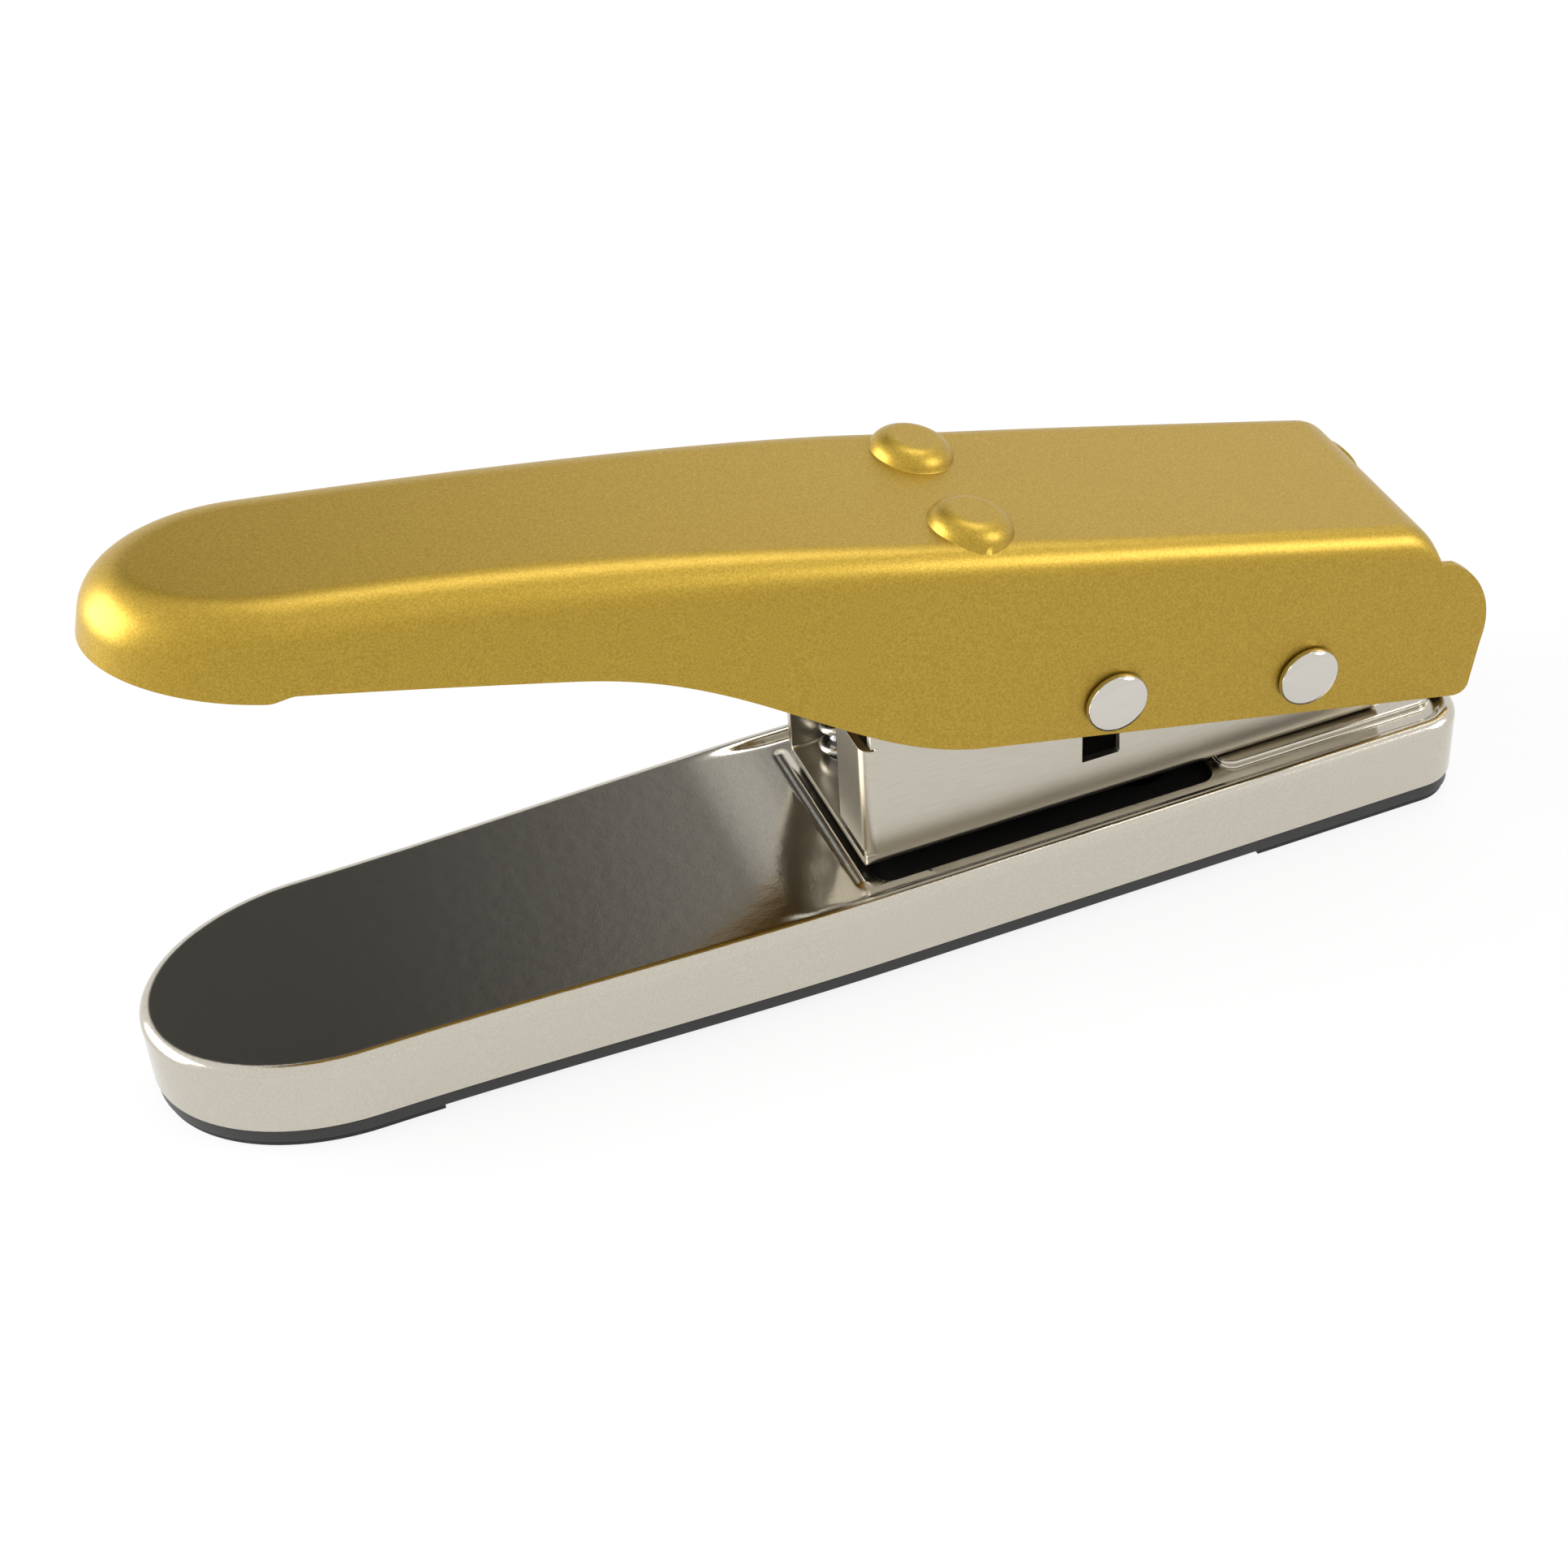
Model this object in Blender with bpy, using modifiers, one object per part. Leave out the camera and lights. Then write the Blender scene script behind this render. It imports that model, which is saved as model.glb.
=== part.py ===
"""Guitar pick punch: a pressed-steel base, a punch frame, a die, a pick-shaped punch and a sprung handle.

Metres, +Z up. The nose of the tool points to -X, and the origin lies on the table under the middle of its
length. The handle is modelled level in its own frame, whose origin is the rear pin, and then tilted open.
"""

import math

import bmesh
import bpy
from mathutils import Matrix, Vector

MM = 0.001

# Whole tool
OPEN_ANGLE = math.radians(15.0)
GAP = 0.3 * MM
OVERRUN = 2.0 * MM
MERGE_DISTANCE = 0.01 * MM
WELD_DISTANCE = 0.001 * MM

# Base shell, one pressed sheet
THUMB_LENGTH = 107.5 * MM
BASE_WIDTH = 46.2 * MM
BASE_NOSE_WIDTH = 41.8 * MM
BASE_REAR_WIDTH = 45.6 * MM
BASE_NOSE_LENGTH = 28.6 * MM
BASE_CORNER = 7.3 * MM
BASE_SHEET = 1.0 * MM
BASE_TOP = 14.4 * MM
BASE_SHOULDER = 1.8 * MM
RIM_HEIGHT = 1.2 * MM
WALL_FOOT = 3.6 * MM
THUMB_RAMP = 16.0 * MM
RIDGE_RADIUS = 1.3 * MM
RIDGE_HEIGHT = 0.4 * MM
RIDGE_LENGTH = 36.0 * MM
RIDGE_AHEAD = 1.1 * MM
WINDOW_SIDE_GAP = 2.2 * MM
WINDOW_BEHIND = 1.0 * MM
WINDOW_PAST_PICK = 3.5 * MM
WINDOW_CORNER = 2.5 * MM
PLATFORM_SIDE = 1.3 * MM
PLATFORM_BEHIND = 1.6 * MM
PLATFORM_PAST_FRAME = 8.8 * MM
PLATFORM_TO_REAR = 3.8 * MM
PLATFORM_EDGE = 0.5 * MM

# Cover and feet under the base
COVER_INSET = 0.3 * MM
COVER_FLOOR = 1.1 * MM
COVER_LIP = 1.2 * MM
COVER_LIP_HEIGHT = 3.6 * MM
FOOT_PAD = 0.8 * MM
FRONT_FOOT_LENGTH = 38.0 * MM
REAR_FOOT_LENGTH = 37.0 * MM
FOOT_INSET = 0.4 * MM

# Punch frame, one U-shaped pressing
FRAME_PAST_PICK = 2.6 * MM
FRAME_BEHIND_PIVOT = 16.1 * MM
FRAME_SHEET = 1.3 * MM
CARD_SLOT = 1.4 * MM
FRAME_HEADROOM = 3.2 * MM
FRAME_BEND = 1.8 * MM
FRAME_REAR_TOP = 40.0 * MM
FRAME_REAR_SLOPE = 24.0 * MM
FRONT_STEP = 1.3 * MM
FRONT_STEP_HEIGHT = 3.6 * MM
FRONT_SLOPE = 5.5 * MM
FLANGE_WIDTH = 10.4 * MM
FLANGE_TOP = 38.2 * MM
FLANGE_FOOT = 1.4 * MM
FLANGE_BEND = 2.0 * MM
SLOT_WIDTH = 6.2 * MM
SLOT_FOOTROOM = 2.6 * MM
SLOT_HEADROOM = 0.6 * MM

# Pins, with the rear one as the pivot
DRIVE_BEHIND_FRAME_FRONT = 38.9 * MM
PIVOT_HEIGHT = 31.0 * MM
DRIVE_PIN_AHEAD = 32.95 * MM
DRIVE_PIN_BELOW = 2.2 * MM
PIN_DIAMETER = 4.8 * MM
PIN_CLEARANCE = 0.3 * MM
HEAD_DIAMETER = 9.9 * MM
HEAD_HEIGHT = 2.1 * MM
HEAD_RIM = 0.7 * MM
HEAD_DIMPLE = 0.25 * MM
WASHER_DIAMETER = 9.0 * MM
SLEEVE_DIAMETER = 8.0 * MM

# Handle shell, one pressed sheet, in the handle's own frame
HANDLE_SHEET = 1.3 * MM
WASHER_SPACE = 2.2 * MM
GRIP_WIDTH = 33.8 * MM
GRIP_LENGTH = 158.1 * MM
SHOULDER_LENGTH = 60.0 * MM
HANDLE_NOSE_LENGTH = 22.9 * MM
HANDLE_TOP = 23.5 * MM
TOP_ARC_START = 68.6 * MM
TOP_ARC_RADIUS = 765.0 * MM
HANDLE_EDGE = 3.2 * MM
GRIP_EDGE = 6.5 * MM
SKIRT_LOW = 9.4 * MM
SKIRT_REAR = 6.2 * MM
SKIRT_GRIP = 6.2 * MM
SKIRT_NOSE = 5.1 * MM
SKIRT_FRONT = 54.0 * MM
SKIRT_CURVE = 66.0 * MM
SKIRT_CORNER = 2.0 * MM
EAR_RADIUS = 14.8 * MM
EAR_CENTRE_HEIGHT = 4.7 * MM
EAR_REACH = 30.9 * MM
TOP_END = 18.2 * MM
BACK_FLANGE_BOTTOM = 13.0 * MM
BACK_NOTCH = 1.6 * MM

# Spring pockets pressed up in the handle
POCKET_SPACING = 20.6 * MM
POCKET_FOOT_RADIUS = 6.7 * MM
POCKET_TOP_RADIUS = 4.6 * MM
POCKET_HEIGHT = 3.4 * MM
POCKET_ROUNDING = 1.3 * MM

# Return springs
SPRING_WIRE = 1.2 * MM
SPRING_DIAMETER = 6.5 * MM
SPRING_TURNS = 12
SPRING_BEHIND_FRAME_FRONT = 6.4 * MM
SPRING_LEAN = 5.6 * MM
SPRING_END_PITCH = 1.9 * MM
PEG_DIAMETER = 3.0 * MM
PEG_HEIGHT = 4.0 * MM
PEG_FOOT_DIAMETER = 5.6 * MM

# Pick, punch, carrier and die
PICK_LENGTH = 30.5 * MM
PICK_WIDTH = 26.0 * MM
PICK_TIP_RADIUS = 3.0 * MM
PICK_SHOULDER_RADIUS = 6.5 * MM
PUNCH_IN_WEB = 0.4 * MM
CARRIER_BELOW_PIN = 7.1 * MM
CARRIER_ABOVE_PIN = 6.1 * MM
CARRIER_PAST_PICK = 1.75 * MM
CARRIER_EDGE = 0.8 * MM
DIE_THICKNESS = 5.0 * MM
DIE_LAP = 2.2 * MM
DIE_AHEAD = 2.0 * MM
DIE_REAR_MARGIN = 3.0 * MM
PUNCH_SCREW_DIAMETER = 4.0 * MM
PUNCH_SCREW_SPACING = 18.0 * MM
PUNCH_SCREW_HEAD = 6.6 * MM
PUNCH_SCREW_HEAD_HEIGHT = 2.2 * MM
PUNCH_SCREW_DEPTH = 6.0 * MM
HEX_SOCKET = 3.0 * MM
HEX_DEPTH = 1.3 * MM
FRAME_RIVET_DIAMETER = 3.2 * MM
FRAME_RIVET_HEAD = 6.0 * MM
FRAME_RIVET_HEAD_HEIGHT = 1.3 * MM
FRAME_RIVET_EDGE = 5.5 * MM
FRAME_RIVET_SPACING = 16.0 * MM

# How finely the curved shapes are divided
NOSE_STEPS = 12
EDGE_STEPS = 4
CORNER_STEPS = 4
ROUND_STEPS = 28
SMALL_ROUND_STEPS = 16
POCKET_STEPS = 24
RIDGE_SIDES = 12
HEX_SIDES = 6
BEND_STEPS = 3
EYE_STEPS = 8
SPRING_POINTS_PER_TURN = 9

# Places that several pieces share, worked out from the frame's front edge
HALF_FRAME = PICK_WIDTH / 2 + FRAME_PAST_PICK
HALF_HANDLE = HALF_FRAME + WASHER_SPACE + HANDLE_SHEET
HALF_WINDOW = HALF_FRAME + WINDOW_SIDE_GAP
FRAME_BOTTOM = BASE_TOP + CARD_SLOT
FRAME_TOP = PIVOT_HEIGHT + HANDLE_TOP - HANDLE_SHEET - FRAME_HEADROOM
WEB_TOP = FRAME_BOTTOM + FRAME_SHEET
PLATFORM_TOP = FRAME_BOTTOM - GAP
PIN_RADIUS = PIN_DIAMETER / 2
PIN_HOLE_RADIUS = PIN_RADIUS + PIN_CLEARANCE
PIN_PLACES = (("drive", -DRIVE_PIN_AHEAD, -DRIVE_PIN_BELOW), ("pivot", 0.0, 0.0))


def open_offset(along, up):
    """How far behind and above the rear pin a point of the handle's own frame lies at the open pose."""
    x = along * math.cos(OPEN_ANGLE) + up * math.sin(OPEN_ANGLE)
    z = up * math.cos(OPEN_ANGLE) - along * math.sin(OPEN_ANGLE)
    return x, z


DRIVE_OFFSET = open_offset(-DRIVE_PIN_AHEAD, -DRIVE_PIN_BELOW)
EAR_CENTRE_ALONG = EAR_REACH - EAR_RADIUS
PIVOT_BEHIND_FRAME_FRONT = DRIVE_BEHIND_FRAME_FRONT - DRIVE_OFFSET[0]
REAR_END = PIVOT_BEHIND_FRAME_FRONT + open_offset(EAR_CENTRE_ALONG, EAR_CENTRE_HEIGHT)[0] + EAR_RADIUS
FRAME_FRONT = (THUMB_LENGTH - REAR_END) / 2
BASE_FRONT = FRAME_FRONT - THUMB_LENGTH
PIVOT_X = FRAME_FRONT + PIVOT_BEHIND_FRAME_FRONT
DRIVE_X = FRAME_FRONT + DRIVE_BEHIND_FRAME_FRONT
DRIVE_Z = PIVOT_HEIGHT + DRIVE_OFFSET[1]
DRIVE_FRONT_X = PIVOT_X - math.hypot(DRIVE_PIN_AHEAD, DRIVE_PIN_BELOW)
DRIVE_DRIFT = DRIVE_X - DRIVE_FRONT_X
SLOT_CENTRE_X = (DRIVE_X + DRIVE_FRONT_X) / 2
FRAME_REAR = PIVOT_X + FRAME_BEHIND_PIVOT
WINDOW_FRONT = FRAME_FRONT + WINDOW_BEHIND
WINDOW_REAR = DRIVE_X + PICK_LENGTH / 2 + WINDOW_PAST_PICK
PLATFORM_FRONT = WINDOW_REAR + PLATFORM_BEHIND
PLATFORM_REAR = FRAME_REAR + PLATFORM_PAST_FRAME
BASE_REAR = PLATFORM_REAR + PLATFORM_TO_REAR
DIE_TOP = BASE_TOP - BASE_SHEET - GAP
COVER_BOTTOM = FOOT_PAD + GAP
PUNCH_BOTTOM = FRAME_BOTTOM + PUNCH_IN_WEB
CARRIER_BOTTOM = DRIVE_Z - CARRIER_BELOW_PIN
PUNCH_TOP = CARRIER_BOTTOM - GAP
SPRING_FOOT_X = FRAME_FRONT + SPRING_BEHIND_FRAME_FRONT
POCKET_AHEAD = PIVOT_X - SPRING_FOOT_X - SPRING_LEAN


# Scene, collections, materials


def clear_scene():
    for obj in list(bpy.data.objects):
        bpy.data.objects.remove(obj, do_unlink=True)


def new_collection(name):
    collection = bpy.data.collections.new(name)
    bpy.context.scene.collection.children.link(collection)
    return collection


def new_material(name, colour, roughness, metallic):
    material = bpy.data.materials.new(name)
    material.use_nodes = True
    shader = material.node_tree.nodes["Principled BSDF"]
    shader.inputs["Base Color"].default_value = (*colour, 1.0)
    shader.inputs["Roughness"].default_value = roughness
    shader.inputs["Metallic"].default_value = metallic
    return material


clear_scene()
PARTS = new_collection("guitar_pick_punch")
CUTTERS = new_collection("cutters")
GOLD_PAINT = new_material("gold_paint", (0.45, 0.30, 0.045), 0.38, 0.6)
NICKEL = new_material("nickel_plate", (0.62, 0.58, 0.52), 0.18, 1.0)
CHROME = new_material("chrome", (0.75, 0.74, 0.72), 0.12, 1.0)
TOOL_STEEL = new_material("tool_steel", (0.30, 0.30, 0.31), 0.35, 1.0)
BLACK_STEEL = new_material("black_steel", (0.03, 0.03, 0.03), 0.45, 0.8)
SPRING_STEEL = new_material("spring_steel", (0.55, 0.54, 0.52), 0.25, 1.0)
BLACK_PLASTIC = new_material("black_plastic", (0.02, 0.02, 0.02), 0.55, 0.0)
BLACK_RUBBER = new_material("black_rubber", (0.015, 0.015, 0.015), 0.8, 0.0)
NYLON = new_material("nylon", (0.75, 0.73, 0.68), 0.5, 0.0)


# Helpers that make one object


def add_object(name, mesh, material=None, location=(0, 0, 0), rotation=(0, 0, 0), parent=None):
    """A part when it has a material, and otherwise a cutter, which isn't part of the tool."""
    obj = bpy.data.objects.new(name, mesh)
    obj.location = location
    obj.rotation_euler = rotation
    obj.parent = parent
    if material is None:
        CUTTERS.objects.link(obj)
        obj.hide_render = True
        obj.display_type = "WIRE"
    else:
        PARTS.objects.link(obj)
        mesh.materials.append(material)
    return obj


def smooth(obj, angle=35.0):
    obj.data.shade_smooth()
    obj.data.set_sharp_from_angle(angle=math.radians(angle))


def mesh_from(bm, name):
    mesh = bpy.data.meshes.new(name)
    bm.to_mesh(mesh)
    bm.free()
    return mesh


def block(name, low, high, material=None, parent=None):
    """A box between two corners, with its size in the mesh."""
    bm = bmesh.new()
    bmesh.ops.create_cube(bm, size=1.0)
    size = [b - a for a, b in zip(low, high)]
    centre = [(a + b) / 2 for a, b in zip(low, high)]
    bmesh.ops.scale(bm, vec=size, verts=bm.verts)
    return add_object(name, mesh_from(bm, name), material, location=centre, parent=parent)


def rod(name, radius, length, location, axis="Z", material=None, parent=None, steps=ROUND_STEPS):
    """A plain cylinder centred on its location."""
    bm = bmesh.new()
    bmesh.ops.create_cone(bm, cap_ends=True, segments=steps, radius1=radius, radius2=radius, depth=length)
    if axis == "Y":
        bmesh.ops.rotate(bm, cent=(0, 0, 0), matrix=Matrix.Rotation(math.pi / 2, 3, "X"), verts=bm.verts)
    return add_object(name, mesh_from(bm, name), material, location=location, parent=parent)


def turned(
    name, profile, material=None, location=(0, 0, 0), rotation=(0, 0, 0), parent=None, steps=ROUND_STEPS
):
    """A profile of (radius, height) points, given down the outer side, turned about Z."""
    closed = profile[0] == profile[-1]
    points = profile[:-1] if closed else profile
    edges = [(i, i + 1) for i in range(len(points) - 1)]
    if closed:
        edges.append((len(points) - 1, 0))
    mesh = bpy.data.meshes.new(name)
    mesh.from_pydata([(r, 0, z) for r, z in points], edges, [])
    obj = add_object(name, mesh, material, location, rotation, parent)
    screw = obj.modifiers.new("turn", "SCREW")
    screw.steps = screw.render_steps = steps
    screw.use_merge_vertices = True
    screw.merge_threshold = MERGE_DISTANCE
    return obj


def realised(obj):
    """The object's evaluated mesh, welded, in a new object that takes its place."""
    graph = bpy.context.evaluated_depsgraph_get()
    graph.update()
    mesh = bpy.data.meshes.new_from_object(obj.evaluated_get(graph))
    mesh.materials.clear()
    bm = bmesh.new()
    bm.from_mesh(mesh)
    bmesh.ops.remove_doubles(bm, verts=bm.verts, dist=WELD_DISTANCE)
    bmesh.ops.recalc_face_normals(bm, faces=bm.faces)
    bm.to_mesh(mesh)
    bm.free()
    return mesh


def outline_plate(name, points, low, high, axis="Z", material=None, parent=None, location=(0, 0, 0)):
    """A flat outline drawn as a filled 2D curve and given its thickness, from low to high along its axis."""
    curve = bpy.data.curves.new(name, "CURVE")
    curve.dimensions = "2D"
    curve.fill_mode = "BOTH"
    curve.extrude = (high - low) / 2
    spline = curve.splines.new("POLY")
    spline.points.add(len(points) - 1)
    for point, (a, b) in zip(spline.points, points):
        point.co = (a, b, 0, 1)
    spline.use_cyclic_u = True
    guide = bpy.data.objects.new(name + "_outline", curve)
    CUTTERS.objects.link(guide)
    mesh = realised(guide)
    bpy.data.objects.remove(guide, do_unlink=True)
    turn = Matrix.Identity(4)
    middle = (low + high) / 2
    shift = Vector((0, 0, middle))
    if axis == "Y":
        turn = Matrix.Rotation(math.pi / 2, 4, "X")
        shift = Vector((0, middle, 0))
    mesh.transform(Matrix.Translation(shift) @ turn)
    mesh.name = name
    return add_object(name, mesh, material, location=location, parent=parent)


def boolean(obj, other, operation="DIFFERENCE"):
    modifier = obj.modifiers.new(other.name, "BOOLEAN")
    modifier.operation = operation
    modifier.object = other
    return obj


def bevel(obj, width, segments=2, angle=40.0):
    modifier = obj.modifiers.new("edges", "BEVEL")
    modifier.width = width
    modifier.segments = segments
    modifier.limit_method = "ANGLE"
    modifier.angle_limit = math.radians(angle)
    return obj


# Outlines


def arc(centre, radius, start, end, steps):
    """Points on an arc, with its angles in degrees and both ends included."""
    points = []
    for i in range(steps + 1):
        angle = math.radians(start + (end - start) * i / steps)
        points.append((centre[0] + radius * math.cos(angle), centre[1] + radius * math.sin(angle)))
    return points


def rounded_box(left, right, half_width, radius, steps=CORNER_STEPS):
    """A rectangle with round corners, along X from left to right."""
    points = []
    for x, y, start in (
        (right - radius, half_width - radius, 0),
        (left + radius, half_width - radius, 90),
        (left + radius, radius - half_width, 180),
        (right - radius, radius - half_width, 270),
    ):
        points += arc((x, y), radius, start, start + 90, steps)
    return points


def smooth_step(share):
    share = min(max(share, 0.0), 1.0)
    return share * share * (3 - 2 * share)


def inward(points, closed_by_mirror):
    """The inward unit normals of a half outline, which starts on the mirror line at its nose."""
    normals = []
    for i, (x, y) in enumerate(points):
        before = points[i - 1] if i else (points[1][0], -points[1][1])
        last = i == len(points) - 1
        if not last:
            after = points[i + 1]
        elif closed_by_mirror:
            after = (points[-2][0], -points[-2][1])
        else:
            after = (2 * x - points[-2][0], y)
        run = Vector((after[0] - before[0], after[1] - before[1])).normalized()
        normals.append((run.y, -run.x))
    return normals


def inset(points, distance):
    """A half outline moved inwards by a distance, with its ends kept on the mirror line."""
    normals = inward(points, closed_by_mirror=True)
    return [(x + nx * distance, max(y + ny * distance, 0.0)) for (x, y), (nx, ny) in zip(points, normals)]


def whole(points):
    """A half outline and its mirror image as one closed outline."""
    return points + [(x, -y) for x, y in reversed(points[1:-1])]


def half_base_outline():
    """From the nose, round its half ellipse, along the side that widens and narrows again, to the rear."""
    nose_x = BASE_FRONT + BASE_NOSE_LENGTH
    nose_y = BASE_NOSE_WIDTH / 2
    points = []
    for i in range(NOSE_STEPS):
        angle = math.pi / 2 * i / NOSE_STEPS
        points.append((nose_x - BASE_NOSE_LENGTH * math.cos(angle), nose_y * math.sin(angle)))
    points.append((nose_x, nose_y))
    widest = BASE_WIDTH / 2
    steps = 5
    for i in range(1, steps + 1):
        share = i / steps
        x = nose_x + (FRAME_FRONT - nose_x) * share
        points.append((x, nose_y + (widest - nose_y) * smooth_step(share)))
    rear_y = BASE_REAR_WIDTH / 2
    corner_x = BASE_REAR - BASE_CORNER
    for share in (1 / 3, 2 / 3):
        points.append((FRAME_FRONT + (corner_x - FRAME_FRONT) * share, widest + (rear_y - widest) * share))
    points += arc((corner_x, rear_y - BASE_CORNER), BASE_CORNER, 90, 0, CORNER_STEPS)
    points.append((BASE_REAR, 0.0))
    return points


def half_handle_outline():
    """From the nose, round its half ellipse, along the grip and the widening shoulders, to the rear ears."""
    nose_x = -GRIP_LENGTH
    grip = GRIP_WIDTH / 2
    points = []
    for i in range(NOSE_STEPS):
        angle = math.pi / 2 * i / NOSE_STEPS
        points.append((nose_x - HANDLE_NOSE_LENGTH * math.cos(angle), grip * math.sin(angle)))
    widening = GRIP_LENGTH - SHOULDER_LENGTH
    steps = 12
    for i in range(steps + 1):
        share = i / steps
        points.append((nose_x + widening * share, grip + (HALF_HANDLE - grip) * smooth_step(share)))
    points.append((-SHOULDER_LENGTH / 2, HALF_HANDLE))
    points.append((0.0, HALF_HANDLE))
    points.append((EAR_REACH + OVERRUN, HALF_HANDLE))
    return points


def pressed_lid(
    name, outline, closed, spine, bottom, top_at, edge_at, fill_shares, dip_at, material, parent=None
):
    """An open pressed surface over half a plan outline: a wall, a rounded edge and a top.

    top_at and edge_at give the top's height and the edge's radius at a place along X, and dip_at how far the
    top lies below that height at a place along X and a share of the way from the edge to the spine, which is
    the stretch of the middle line that the top is filled in to.
    """
    normals = inward(outline, closed)
    bm = bmesh.new()
    rows = []
    for (x, y), (nx, ny) in zip(outline, normals):
        top = top_at(x)
        edge = edge_at(x)
        row = [(x, y, bottom)]
        for k in range(EDGE_STEPS + 1):
            angle = math.pi / 2 * k / EDGE_STEPS
            shift = edge * (1 - math.cos(angle))
            row.append((x + nx * shift, max(y + ny * shift, 0.0), top - edge + edge * math.sin(angle)))
        rim_x, rim_y, _ = row[-1]
        rim_top = top_at(rim_x)
        row[-1] = (rim_x, rim_y, rim_top)
        spine_x = min(max(rim_x, spine[0]), spine[1])
        for share in fill_shares:
            fill_x = rim_x + (spine_x - rim_x) * share
            row.append((fill_x, rim_y * (1 - share), top_at(fill_x) - dip_at(fill_x, share)))
        rows.append([bm.verts.new(point) for point in row])
    for first, second in zip(rows, rows[1:]):
        for k in range(len(first) - 1):
            bm.faces.new((first[k], first[k + 1], second[k + 1], second[k]))
    bmesh.ops.remove_doubles(bm, verts=bm.verts, dist=WELD_DISTANCE)
    bmesh.ops.recalc_face_normals(bm, faces=bm.faces)
    upper = max(bm.faces, key=lambda face: face.calc_center_median().z)
    if upper.normal.z < 0:
        bmesh.ops.reverse_faces(bm, faces=bm.faces)
    obj = add_object(name, mesh_from(bm, name), material, parent=parent)
    mirror = obj.modifiers.new("other_half", "MIRROR")
    mirror.use_axis = (False, True, False)
    mirror.merge_threshold = MERGE_DISTANCE
    return obj


def solidify(obj, thickness):
    modifier = obj.modifiers.new("sheet", "SOLIDIFY")
    modifier.thickness = thickness
    modifier.offset = -1.0
    modifier.use_even_offset = True
    return obj


# Base


def base_deck_dip(x, share):
    """The thumb area is level with the rim, and falls in a ramp to the ridge and the deck behind it."""
    ridge = FRAME_FRONT - RIDGE_AHEAD
    behind = 1 - smooth_step((ridge - x) / THUMB_RAMP)
    across = smooth_step(share / RIM_SHARE)
    return RIM_HEIGHT * behind * across


RIM_SHARE = 0.12
BASE_FILL_SHARES = (0.04, 0.08, RIM_SHARE, 0.55, 1.0)


def make_base_shell():
    outline = half_base_outline()
    ramp_shares = (1.0, 0.75, 0.5, 0.25, 0.0)
    ridge = FRAME_FRONT - RIDGE_AHEAD
    for share in ramp_shares:
        x = ridge - THUMB_RAMP * share
        after = next(i for i, point in enumerate(outline) if point[0] > x)
        (x1, y1), (x2, y2) = outline[after - 1], outline[after]
        if min(x - x1, x2 - x) > BASE_SHEET:
            outline.insert(after, (x, y1 + (y2 - y1) * (x - x1) / (x2 - x1)))
    spine = (BASE_FRONT + BASE_NOSE_LENGTH, BASE_REAR - BASE_REAR_WIDTH / 3)
    rim_top = BASE_TOP + RIM_HEIGHT
    shell = pressed_lid(
        "base_shell", outline, True, spine, WALL_FOOT, lambda x: rim_top, lambda x: BASE_SHOULDER,
        BASE_FILL_SHARES, base_deck_dip, NICKEL,
    )
    solidify(shell, BASE_SHEET)
    raised = rounded_box(PLATFORM_FRONT, PLATFORM_REAR, HALF_FRAME + PLATFORM_SIDE, WINDOW_CORNER)
    platform = outline_plate("platform_tool", raised, BASE_TOP - BASE_SHEET / 2, PLATFORM_TOP)
    bevel(platform, PLATFORM_EDGE)
    boolean(shell, platform, "UNION")
    boolean(shell, ridge_tool(ridge), "UNION")
    opening = rounded_box(WINDOW_FRONT, WINDOW_REAR, HALF_WINDOW, WINDOW_CORNER)
    boolean(shell, outline_plate("window_tool", opening, BASE_TOP - BASE_SHEET - OVERRUN, BASE_TOP + OVERRUN))
    frame_rivet_holes(shell, PLATFORM_TOP)
    smooth(shell)


def ridge_tool(ridge):
    """A round-ended bar along Y, cut off flat inside the sheet that it swells from."""
    half = RIDGE_LENGTH / 2 - RIDGE_RADIUS
    height = BASE_TOP + RIDGE_HEIGHT - RIDGE_RADIUS
    bm = bmesh.new()
    bmesh.ops.create_uvsphere(bm, u_segments=RIDGE_SIDES, v_segments=RIDGE_SIDES, radius=RIDGE_RADIUS)
    bmesh.ops.rotate(bm, cent=(0, 0, 0), matrix=Matrix.Rotation(math.pi / 2, 3, "X"), verts=bm.verts)
    for vert in bm.verts:
        if abs(vert.co.y) > MERGE_DISTANCE:
            vert.co.y += math.copysign(half, vert.co.y)
    cut = BASE_TOP - BASE_SHEET / 2 - height
    everything = bm.verts[:] + bm.edges[:] + bm.faces[:]
    found = bmesh.ops.bisect_plane(
        bm, geom=everything, plane_co=(0, 0, cut), plane_no=(0, 0, 1), clear_inner=True
    )
    rim = [item for item in found["geom_cut"] if isinstance(item, bmesh.types.BMEdge)]
    bmesh.ops.contextual_create(bm, geom=rim)
    bmesh.ops.recalc_face_normals(bm, faces=bm.faces)
    return add_object("ridge_tool", mesh_from(bm, "ridge_tool"), location=(ridge, 0, height))


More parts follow.
